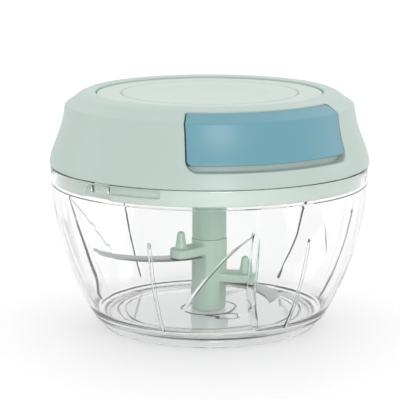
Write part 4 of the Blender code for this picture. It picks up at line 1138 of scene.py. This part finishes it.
@dataclass
class HandleSeat:
    """The sector of the lid that the pull handle fills, with tapered ends and round lower corners."""

    azimuth: float = 24.3 * DEG
    sweep: float = 67.9 * DEG
    taper: float = 1.5 * DEG
    top: float = 90.5 * MM
    foot: float = 72.5 * MM
    reach: float = 62.5 * MM
    left_crown: float = 0.5 * MM
    right_crown: float = 1.7 * MM
    crown_stretch: float = 1.6
    steps: int = 56
    eyelet_z: float = 77.25 * MM

    def inset(self, z: float, low: float, corner: float, crown: float) -> float:
        """Tell how far an end is drawn in at a height.

        Args:
            z: Height.
            low: Height of the lower edge.
            corner: Radius of the lower corner.
            crown: Radius of the upper corner.

        Returns:
            The angle by which the end stands in.
        """
        depth = min(max(low + corner - z, 0.0), corner)
        above = min(max(z + crown - self.top, 0.0), crown)
        round_off = corner - math.sqrt(corner**2 - depth**2)
        round_off += self.crown_stretch * (crown - math.sqrt(crown**2 - above**2))
        return self.taper * (self.top - z) / (self.top - self.foot) + round_off / self.reach

    def block(self, name: str, inner: Sequence[Point], outer: Sequence[Point], side: float = 0.0,
              corner: float = 0.0, edge: float = 0.0, crowned: bool = False) -> Mesh:
        """Sweep a section over the seat.

        Args:
            name: Name of the mesh.
            inner: The section's side towards the axis, from its foot up.
            outer: Its outer side, with as many points, from its foot up.
            side: How much wider than the handle the sweep is at each end.
            corner: Radius of the lower corners seen from the front.
            edge: Rounding of the edges round both ends.
            crowned: Whether the upper corners are rounded too.

        Returns:
            The mesh.
        """
        loop = list(inner) + list(outer)[::-1]
        low = min(z for _, z in loop)
        normals = []
        for index in range(len(loop)):
            along = Vector(loop[(index + 1) % len(loop)]) - Vector(loop[index - 1])
            normals.append(Vector((-along.y, along.x)).normalized())
        half = self.sweep / 2 + side
        ends = [(edge * (1 - math.cos(k * 15 * DEG)) / self.reach, edge * (1 - math.sin(k * 15 * DEG)))
                for k in range(7)] if edge else [(0.0, 0.0)]
        bare = half - ends[-1][0]
        places = [(-half + depth, shrink) for depth, shrink in ends]
        places += [(-bare + 2 * bare * k / self.steps, 0.0) for k in range(1, self.steps)]
        places += [(half - depth, shrink) for depth, shrink in reversed(ends)]
        solid = bmesh.new()
        rows: list[Row] = []
        for turn, shrink in places:
            crown = (self.right_crown if turn > 0 else self.left_crown) if crowned else 0.0
            row = []
            for (radius, z), normal in zip(loop, normals):
                drawn = 1 - self.inset(z, low, corner, crown) / (self.sweep / 2)
                row.append(solid.verts.new(polar(radius - normal.x * shrink, self.azimuth + turn * drawn,
                                                 z - normal.y * shrink)))
            rows.append(row)
        for near, far in zip(rows, rows[1:]):
            lay(solid, near, far)
        for row in (rows[0], rows[-1]):
            for index in range(len(inner) - 1):
                solid.faces.new((row[index], row[index + 1], row[-index - 2], row[-index - 1]))
        bmesh.ops.triangulate(solid, faces=solid.faces)
        return as_mesh(name, solid)


@dataclass
class Lid:
    """The lid's shell with the handle's notch, its top disc, its base with slots, and its seal."""

    shop: Workshop
    side: LidSide
    seat: HandleSeat
    lug_azimuths: tuple[float, ...]
    wall: float = 2.0 * MM
    disc_radius: float = 44.0 * MM
    disc_low: float = 89.1 * MM
    disc_top: float = 91.3 * MM
    top: float = 92.4 * MM
    gap: float = 0.3 * MM
    groove_radius: float = 34.5 * MM
    groove: float = 0.5 * MM
    groove_depth: float = 0.7 * MM
    dish_radius: float = 24.0 * MM
    dish_depth: float = 1.2 * MM
    deck: Point = (85.6 * MM, 87.4 * MM)
    deck_hole: float = 1.6 * MM
    ledge: float = 67.9 * MM
    side_gap: float = 0.5 * DEG
    pocket_side: float = 2.5 * DEG
    notch_low: float = 70.0 * MM
    notch_corner: float = 4.5 * MM
    notch_radius: float = 51.2 * MM
    finger_top: float = 72.2 * MM
    finger_depth: float = 2.6 * MM
    eyelet_hole: float = 2.4 * MM
    skirt_outer: float = 59.9 * MM
    skirt_inner: float = 56.9 * MM
    slot_back: float = 58.1 * MM
    skirt_low: float = 57.7 * MM
    plate: Point = (65.4 * MM, 67.6 * MM)
    plate_radius: float = 60.9 * MM
    collar: Point = (7.1 * MM, 9.8 * MM)
    collar_span: Point = (62.4 * MM, 69.0 * MM)
    slot_span: Point = (60.125 * MM, 62.925 * MM)
    slot_mouth: Point = (-8.33 * DEG, 4.17 * DEG)
    slot_ramp: float = -4.35 * DEG
    slot_end: float = 24.15 * DEG
    slot_corner: float = 0.9 * MM
    screw_places: tuple[Vector, ...] = tuple(polar(44.0 * MM, azimuth) for azimuth in spread(85))
    screw_hole: float = 1.5 * MM
    boss_radius: float = 3.4 * MM
    boss_hole_top: float = 80.4 * MM
    sharp: float = 32 * DEG

    def shell_line(self) -> list[Point]:
        """Draw the shell's closed half section, from its lip at the disc over the dome and down.

        Returns:
            Radius and height of each point.
        """
        lip = self.disc_radius + self.gap
        crest_r, crest_z = self.side.crest
        shoulder_r, shoulder_z = self.side.shoulder
        line = rounded([(lip, self.disc_low - self.gap, 0), (lip, self.top - 0.55 * MM, 0.5 * MM),
                        (lip + 1.8 * MM, self.top - 0.02 * MM, 1.2 * MM),
                        (crest_r - 3.6 * MM, self.top, 1.8 * MM),
                        (crest_r - 0.4 * MM, crest_z + 0.5 * MM, 1.6 * MM),
                        (crest_r + 1.2 * MM, crest_z - 0.9 * MM, 0.6 * MM),
                        (shoulder_r - 0.2 * MM, shoulder_z + 0.7 * MM, 0.9 * MM),
                        (shoulder_r, shoulder_z - 0.6 * MM, 0)], 6)
        line += self.side.curve(0.0, 40)[::-1][1:]
        rebate = self.side.radius - 1.3 * MM
        line += rounded([(self.side.radius, self.side.edge + 0.3 * MM, 0),
                         (self.side.radius - 0.1 * MM, self.side.edge, 0.25 * MM),
                         (rebate, self.side.edge, 0.2 * MM), (rebate, self.ledge, 0.2 * MM),
                         (self.side.at(self.ledge, self.wall), self.ledge, 0)], 3)
        inner = [point for point in self.side.curve(self.wall, 24) if point[1] > self.ledge + 0.5 * MM]
        under, deck = self.deck
        return line + inner + [(inner[-1][0] - 2 * MM, under), (self.deck_hole, under),
                               (self.deck_hole, deck), (self.disc_radius - 4 * MM, deck),
                               (self.disc_radius - 4 * MM, self.disc_low - self.gap)]

    def pocket(self) -> Mesh:
        """Shape the wall that carries the notch inside the lid.

        Returns:
            The pocket's mesh, before the notch is cut into it.
        """
        ledge = self.finger_top - self.wall
        step = self.side.at(self.seat.foot) - self.finger_depth - self.wall
        heights = [self.notch_low - self.wall, ledge - 0.01 * MM, ledge]
        heights += [z * MM for z in (74, 78, 82, 85)] + [self.deck[1]]
        inner = [(step if z < ledge else self.notch_radius - self.wall, z) for z in heights]
        outer = [(self.side.at(z, self.wall / 2), z) for z in heights[:-1]]
        outer.append((self.side.crest[0] + 1 * MM, self.deck[1]))
        return self.seat.block("pocket", inner, outer, self.pocket_side)

    def notch(self) -> Mesh:
        """Shape the space that the handle fills, with the finger recess below it.

        Returns:
            The cutter's mesh.
        """
        low = self.notch_low
        wall = self.side.at(self.seat.foot) - self.finger_depth
        crease = 0.8 * MM
        heights = [low + self.notch_corner * (1 - math.cos(k * 7.5 * DEG)) for k in range(13)]
        heights += [self.finger_top - 0.02 * MM, self.finger_top, self.top + 5 * MM]
        heights += [self.seat.top - self.seat.right_crown * (1 - math.sin(k * 11.25 * DEG)) for k in range(9)]
        inner = []
        for z in sorted(heights):
            dip = max(low + crease - z, 0.0)
            radius = wall + crease - math.sqrt(crease**2 - dip**2)
            inner.append((radius if z < self.finger_top else self.notch_radius, z))
        outer = [(self.side.radius + 5 * MM, z) for _, z in inner]
        return self.seat.block("notch", inner, outer, self.side_gap, self.notch_corner, crowned=True)

    def shell(self) -> Object:
        """Shape the shell, its pocket and notch, its screw bosses and the eyelet's hole.

        Returns:
            The shell's object.
        """
        shell = self.shop.loose(lathed("lid_shell_moulding", self.shell_line(), 240))
        self.shop.shape(shell, "UNION", self.pocket())
        self.shop.shape(shell, "DIFFERENCE", self.notch())
        for place in self.screw_places:
            boss = plug("boss", self.boss_radius, self.ledge, self.deck[0] + 1 * MM, place)
            pilot = plug("pilot", self.screw_hole, self.ledge - 1 * MM, self.boss_hole_top, place, 24)
            self.shop.shape(shell, "UNION", boss)
            self.shop.shape(shell, "DIFFERENCE", pilot)
        hole = plug("eyelet_hole", self.eyelet_hole, -4 * MM, 2 * MM, (0.0, 0.0))
        hole = aimed(hole, self.notch_radius, self.seat.azimuth, self.seat.eyelet_z)
        self.shop.shape(shell, "DIFFERENCE", hole)
        shell.data.set_sharp_from_angle(angle=self.sharp)
        return shell

    def disc(self) -> Object:
        """Shape the top disc with its soft dish, its thin groove and its rounded rim.

        Returns:
            The disc's object.
        """
        top = self.disc_top
        dished = top - self.dish_depth
        inner = self.dish_radius - 6 * MM
        line = [(radius, dished) for radius in (0.0, self.dish_radius * 0.3, inner * 0.75, inner)]
        for step in range(1, 13):
            radius = inner + (self.dish_radius - inner) * step / 12
            line.append((radius, dished + self.dish_depth * smooth(inner, self.dish_radius, radius)))
        middle = self.groove_radius
        line += rounded([(self.dish_radius + 3 * MM, top, 0), (middle - self.groove, top, 0.1 * MM),
                         (middle - 0.1 * MM, top - self.groove_depth, 0.05 * MM),
                         (middle + 0.1 * MM, top - self.groove_depth, 0.05 * MM),
                         (middle + self.groove, top, 0.1 * MM), (self.disc_radius - 1.5 * MM, top, 0)])
        line += rounded([(self.disc_radius - 1.2 * MM, top, 0), (self.disc_radius, top, 0.6 * MM),
                         (self.disc_radius, self.disc_low, 0.3 * MM),
                         (self.disc_radius - 1 * MM, self.disc_low, 0)])
        return self.shop.loose(lathed("lid_top_disc_moulding", line + [(0.0, self.disc_low)]))

    def slot(self, azimuth: float) -> Mesh:
        """Shape the cutter of one bayonet slot: mouth, ramp, run and rounded end.

        Args:
            azimuth: Azimuth of the lug at rest.

        Returns:
            The cutter's mesh, laid strip by strip along the skirt.
        """
        low, high = self.slot_span
        left, right = self.slot_mouth
        ramp = self.slot_ramp
        below = self.skirt_low - 1 * MM
        corner = self.slot_corner
        bulge = corner / self.skirt_outer
        strips = [(left + (ramp - left) * k / 8, below, low + (high - low) * math.sin(k * 11.25 * DEG))
                  for k in range(9)]
        strips += [(ramp + (right - ramp) * k / 6, below, high) for k in range(1, 7)]
        strips += [(right + 0.01 * DEG + k * 0.12 * DEG, low - 0.5 * MM * (1 - math.sin(k * 18 * DEG)), high)
                   for k in range(6)]
        start = strips[-1][0]
        stop = self.slot_end - bulge
        strips += [(start + (stop - start) * k / 24, low, high) for k in range(1, 24)]
        strips += [(stop + bulge * math.sin(k * 15 * DEG), low + corner * (1 - math.cos(k * 15 * DEG)),
                    high - corner * (1 - math.cos(k * 15 * DEG))) for k in range(7)]
        inner, outer = self.slot_back, self.skirt_outer + 1 * MM
        return skinned("slot", [[polar(radius, azimuth + turn, z) for radius, z in
                                 ((inner, z0), (outer, z0), (outer, z1), (inner, z1))]
                                for turn, z0, z1 in strips])

    def base(self) -> Object:
        """Shape the base plate, its skirt with three slots and its bearing collar.

        Returns:
            The base's object.
        """
        low, high = self.plate
        inner, outer = self.collar
        foot, head = self.collar_span
        soft = 0.4 * MM
        line = rounded([(inner, foot, 0), (inner, head, 0), (outer, head, 0.3 * MM), (outer, high, soft),
                        (self.plate_radius, high, 0.2 * MM), (self.plate_radius, low, 0.1 * MM),
                        (self.skirt_outer, low, 0), (self.skirt_outer, self.skirt_low, soft),
                        (self.skirt_inner, self.skirt_low, soft), (self.skirt_inner, low, 1.2 * MM),
                        (outer, low, 1.0 * MM), (outer, foot, soft), (inner, foot, 0)], 4)
        base = self.shop.loose(lathed("lid_base_moulding", line[:-1], 240))
        cutters = [self.slot(azimuth) for azimuth in self.lug_azimuths]
        cutters += [plug("screw_hole", self.screw_hole, low - 1 * MM, high + 1 * MM, place, 24)
                    for place in self.screw_places]
        self.shop.shape(base, "DIFFERENCE", *cutters)
        base.data.set_sharp_from_angle(angle=self.sharp)
        return base

    def build(self) -> None:
        """Build shell, disc and base, and dress the seal and the screws."""
        self.shop.fit(self.shell(), "lid", Finish.MINT, "lid_shell")
        self.shop.fit(self.disc(), "lid", Finish.MINT_TOP_PAINTED_LIGHT, "lid_top_disc")
        self.shop.fit(self.base(), "lid", Finish.MINT_BASE_PAINTED_LIGHT, "lid_base")
        self.shop.dress(Finish.SILICONE, "seal_ring")
        self.shop.dress(Finish.STEEL, *(f"base_screw_{number}" for number in (1, 2, 3)))


@dataclass
class PullHandle:
    """The blue pull handle that closes the lid's notch, its back plate and its cord."""

    shop: Workshop
    side: LidSide
    seat: HandleSeat
    back: float = 52.5 * MM
    top_inner: float = 51.6 * MM
    top_thick: float = 3.0 * MM
    skin: float = 1.8 * MM
    edge: float = 0.6 * MM
    corner: float = 2.3 * MM
    rim: float = 2.0 * DEG
    flange_radius: float = 30.0 * MM
    bend_radius: float = 46.2 * MM
    bend_reach: float = 3.0 * MM
    cord_low: float = 74.75 * MM
    cord_end: float = 54.4 * MM
    stop_radius: float = 2.25 * MM
    stop_span: Point = (54.1 * MM, 55.4 * MM)

    def face(self) -> list[Point]:
        """Draw the handle's outer side from its soft lower edge over the shoulder to its top.

        Returns:
            Radius and height of each point.
        """
        crest_r, crest_z = self.side.crest
        shoulder_r, shoulder_z = self.side.shoulder
        foot = self.seat.foot
        line = rounded([(self.side.at(foot) - 3 * MM, foot, 0), (self.side.at(foot), foot, 0.9 * MM),
                        (self.side.at(foot + 1.5 * MM), foot + 1.5 * MM, 0)], 8)[1:]
        line += [(self.side.at(z), z) for z in (foot + (2.0 + 0.75 * k) * MM for k in range(15))]
        line += rounded([(shoulder_r, shoulder_z - 0.6 * MM, 0),
                         (shoulder_r - 0.2 * MM, shoulder_z + 0.7 * MM, 0.9 * MM),
                         (crest_r + 3.4 * MM, crest_z - 2.4 * MM, 0),
                         (crest_r + 2.8 * MM, crest_z - 2.0 * MM, 0),
                         (crest_r + 2.0 * MM, crest_z - 1.45 * MM, 0),
                         (crest_r + 1.2 * MM, crest_z - 0.9 * MM, 0.3 * MM),
                         (self.top_inner, crest_z, 0.5 * MM), (self.top_inner, crest_z - 1.5 * MM, 0)], 6)
        return line

    def cover(self) -> Object:
        """Shape the cover and hollow it from behind, as the moulding is.

        Returns:
            The cover's object.
        """
        outer = self.face()
        lid_top = self.side.crest[1] - self.top_thick
        steps = sum(z > lid_top for _, z in outer)
        inner = [(self.back, z) for _, z in outer[:-steps]]
        for share in (k / (steps + 1) for k in range(1, steps + 1)):
            inner.append((self.back + (self.top_inner - self.back) * share, lid_top + 0.9 * MM * share))
        piece = self.shop.loose(self.seat.block("pull_handle_cover", inner, outer, 0.0, self.corner,
                                                self.edge, crowned=True))
        foot = self.seat.foot + 2 * MM
        head = self.side.shoulder[1] - 1 * MM
        heights = [foot + (head - foot) * k / 16 for k in range(17)]
        hollow = self.seat.block("hollow", [(self.back - 1.3 * MM, z) for z in heights],
                                 [(self.side.at(z, self.skin), z) for z in heights], -self.rim)
        self.shop.shape(piece, "DIFFERENCE", hollow)
        piece.data.set_sharp_from_angle(angle=35 * DEG)
        return piece

    def leaving(self) -> float:
        """Return the azimuth at which the cord leaves the reel."""
        return self.seat.azimuth - math.acos(REEL_RADIUS / self.bend_radius)

    def cord_route(self) -> Loop:
        """Lay the cord from the reel through the eyelet to the handle.

        Returns:
            Points along the cord, 0.5 mm apart.
        """
        azimuth = self.seat.azimuth
        eyelet_z = self.seat.eyelet_z
        start = polar(REEL_RADIUS, self.leaving(), self.cord_low)
        corner = polar(self.bend_radius, azimuth, self.cord_low)
        away = (corner - start).normalized()
        rise_from = math.sqrt(self.flange_radius**2 - REEL_RADIUS**2) + 2 * CORD_RADIUS
        rise_to = (corner - start).length - self.bend_reach
        route = []
        place = 2 * CORD_RADIUS + 0.3 * MM
        while place < rise_to:
            spot = start + away * place
            spot.z += (eyelet_z - self.cord_low) * smooth(rise_from, rise_to, place)
            route.append(spot)
            place += 0.5 * MM
        corner.z = eyelet_z
        entry = start + away * rise_to
        entry.z = eyelet_z
        straight = corner + polar(self.bend_reach, azimuth)
        route += bend(entry, corner, straight, 11)
        end = polar(self.cord_end, azimuth, eyelet_z)
        return route + [straight.lerp(end, k / 16) for k in range(1, 17)]

    def stop(self) -> Object:
        """Shape the cord's end, tied flat against the back plate and melted together.

        Returns:
            The stop's object: a thick coil of cord round a drawn-in middle.
        """
        near, far = self.stop_span
        deep = far - near
        line = rounded([(0.0, 0.0, 0), (self.stop_radius, 0.0, 0.3 * MM),
                        (self.stop_radius, deep - 0.2 * MM, 0.55 * MM), (0.9 * MM, deep, 0.2 * MM),
                        (0.6 * MM, deep - 0.25 * MM, 0.2 * MM), (0.0, deep - 0.25 * MM, 0)], 5)
        mesh = lathed("cord_stop_melted", line, 48)
        return self.shop.loose(aimed(mesh, near, self.seat.azimuth, self.seat.eyelet_z))

    def build(self) -> None:
        """Build cover, cord and the cord's stop, and dress the back plate and the eyelet."""
        self.shop.fit(self.cover(), "handle", Finish.BLUE, "pull_handle")
        self.shop.dress(Finish.BLUE, "handle_back")
        self.shop.fit(self.stop(), "handle", Finish.CORD, "cord_stop")
        self.shop.dress(Finish.BRASS, "cord_eyelet")
        cord = self.shop.loose(tube("pull_cord_braid", self.cord_route(), CORD_RADIUS, 16))
        cord.data.materials.append(Finish.CORD.material)
        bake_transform(cord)
        Finish.CORD.slot
        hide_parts("pull_cord")
        self.shop.report(cord, "lid and handle")


@dataclass
class Mechanism:
    """What turns the blades inside the lid: reel, wound cord, recoil spring, pawls and sleeve."""

    shop: Workshop
    leave_azimuth: float
    sleeve_radius: float = 6.8 * MM
    sleeve_inner: float = 5.8 * MM
    sleeve_low: float = 33.72 * MM
    sleeve_bore_top: float = 51.0 * MM
    flange: Point = (69.3 * MM, 70.8 * MM)
    flange_radius: float = 13.0 * MM
    key_tip: float = 4.0 * MM
    key_width: float = 3.0 * MM
    key_low: float = 35.6 * MM
    key_azimuth: float = -25.4 * DEG
    pawl_ring: float = 9.5 * MM
    pin_hole: float = 1.2 * MM
    wound_low: float = 70.25 * MM
    wound_turns: float = 2.25
    wound_pitch: float = 2.0 * MM

    def sleeve(self) -> Object:
        """Shape the drive sleeve with its flange, its keys and the pawls' pin holes.

        Returns:
            The sleeve's object.
        """
        low, top = self.flange
        wide, outer, inner = self.flange_radius, self.sleeve_radius, self.sleeve_inner
        foot, head = self.sleeve_low, self.sleeve_bore_top
        line = rounded([(0.0, top, 0), (wide, top, 0.3 * MM), (wide, low, 0.3 * MM), (outer, low, 0.3 * MM),
                        (outer, foot, 0.15 * MM), (inner, foot, 0.3 * MM), (inner, head, 0),
                        (0.0, head, 0)], 4)
        sleeve = self.shop.loose(lathed("drive_sleeve_moulding", line, 96))
        self.shop.shape(sleeve, "UNION", *keys(self.key_azimuth, self.key_tip, inner + 0.5 * MM,
                                               self.key_width, self.key_low, head + 0.3 * MM))
        for turn in spread(0):
            place = (self.pawl_ring * math.cos(turn), self.pawl_ring * math.sin(turn))
            hole = plug("pin_hole", self.pin_hole, low + 0.6 * MM, top + 1 * MM, place, 24)
            self.shop.shape(sleeve, "DIFFERENCE", hole)
        sleeve.data.set_sharp_from_angle(angle=35 * DEG)
        return sleeve

    def winding(self) -> Object:
        """Lay the cord on the reel as one helix.

        Returns:
            The wound cord's object.
        """
        count = round(self.wound_turns * 64)
        route = []
        for index in range(count + 1):
            turn = self.wound_turns * index / count
            azimuth = self.leave_azimuth + (turn - self.wound_turns) * TURN
            route.append(polar(REEL_RADIUS, azimuth, self.wound_low + turn * self.wound_pitch))
        return self.shop.loose(tube("cord_winding_braid", route, CORD_RADIUS, 12))

    def build(self) -> None:
        """Build sleeve and winding, and dress the rest of the mechanism."""
        self.shop.fit(self.sleeve(), "drive", Finish.MINT_SLEEVE_PAINTED_SHADE, "drive_sleeve")
        self.shop.fit(self.winding(), "reel", Finish.CORD, "cord_winding")
        self.shop.dress(Finish.WHITE, "cord_reel", "pawl_1", "pawl_2", "pawl_3")
        self.shop.dress(Finish.STEEL, "recoil_spring", "reel_spindle", "spindle_screw", "pawl_pin_1",
                        "pawl_pin_2", "pawl_pin_3")


@dataclass
class Studio:
    """The pale floor, the soft studio light and the camera at the photograph's viewpoint.

    Each soft box has a name, a place, a width and height, and a power in watts.
    """

    camera_place: tuple[float, float, float] = (-3.7 * MM, -650 * MM, 178.16 * MM)
    camera_down: float = 0.197
    lens: float = 151.3
    floor_size: float = 6.0
    sheet_colour: str = "cfcfcf"
    sheet_glow: float = 0.38
    surround: float = 0.7
    look_at: Point = (0.0, 50 * MM)
    boxes: tuple[tuple[str, Corner, Point, float], ...] = (
        ("overhead_box", (0.1, 0.5, 1.8), (4.0, 4.0), 24.0),
        ("front_box", (0.16, -1.3, 0.3), (0.35, 0.6), 4.2),
        ("left_box", (-1.3, 0.25, 0.45), (0.6, 0.8), 1.2),
        ("right_box", (1.3, 0.25, 0.45), (0.6, 0.8), 1.2))

    def floor(self) -> None:
        """Lay the pale sheet that the chopper stands on, lit a little from below."""
        solid = bmesh.new()
        bmesh.ops.create_grid(solid, x_segments=1, y_segments=1, size=self.floor_size / 2)
        sheet = bpy.data.objects.new("floor", as_mesh("floor", solid))
        bpy.context.scene.collection.objects.link(sheet)
        sheet.location.z = -0.02 * MM
        paper = blank("pale_paper")
        shader = add(paper, "BsdfPrincipled", {"Base Color": linear(self.sheet_colour), "Roughness": 0.6,
                                               "IOR": 1.3, "Emission Color": linear("ffffff"),
                                               "Emission Strength": self.sheet_glow})
        add(paper, "OutputMaterial", {"Surface": shader})
        sheet.data.materials.append(paper)

    def light(self) -> None:
        """Set the white backdrop, the softer surround that lights the scene, and the soft boxes."""
        world = bpy.data.worlds.new("white_studio")
        bpy.context.scene.world = world
        world.use_nodes = True
        diffuse = add(world, "LightPath").outputs["Is Diffuse Ray"]
        softer = add(world, "MapRange", {"Value": diffuse, "To Min": 1.0, "To Max": self.surround})
        back = world.node_tree.nodes["Background"]
        back.inputs["Color"].default_value = linear("ffffff")
        world.node_tree.links.new(softer.outputs["Result"], back.inputs["Strength"])
        for name, place, size, power in self.boxes:
            light = bpy.data.lights.new(name, "AREA")
            light.shape = "RECTANGLE"
            light.size, light.size_y = size
            light.energy = power
            lamp = bpy.data.objects.new(name, light)
            lamp.location = place
            aim = Vector((0, *self.look_at)) - Vector(place)
            lamp.rotation_euler = aim.to_track_quat("-Z", "Y").to_euler()
            bpy.context.scene.collection.objects.link(lamp)
        bpy.context.scene.view_settings.view_transform = "Standard"

    def camera(self) -> None:
        """Stand the camera where the photograph was taken from."""
        data = bpy.data.cameras.new("camera")
        data.lens = self.lens
        data.sensor_width = 36.0
        data.clip_start = 0.01
        data.clip_end = 20.0
        camera = bpy.data.objects.new("camera", data)
        camera.location = self.camera_place
        camera.rotation_euler = (math.pi / 2 - self.camera_down, 0.0, 0.0)
        bpy.context.scene.collection.objects.link(camera)
        bpy.context.scene.camera = camera

    def build(self) -> None:
        """Set up floor, light and camera."""
        self.floor()
        self.light()
        self.camera()


def main() -> None:
    """Build the chopper's looks, sub-assembly by sub-assembly, in their studio."""
    logging.basicConfig(level=logging.INFO, format="%(name)s: %(message)s")
    shop = Workshop()
    side = LidSide()
    seat = HandleSeat()
    bowl = ClearBowl(shop)
    lid = Lid(shop, side, seat, bowl.lug_azimuths)
    handle = PullHandle(shop, side, seat)
    Studio().build()
    for assembly in (bowl, BladeUnit(shop), lid, handle, Mechanism(shop, handle.leaving())):
        LOG.info("building %s", type(assembly).__name__)
        assembly.build()
    LOG.info("%d new pieces", len(shop.pieces))


if __name__ == "__main__":
    main()
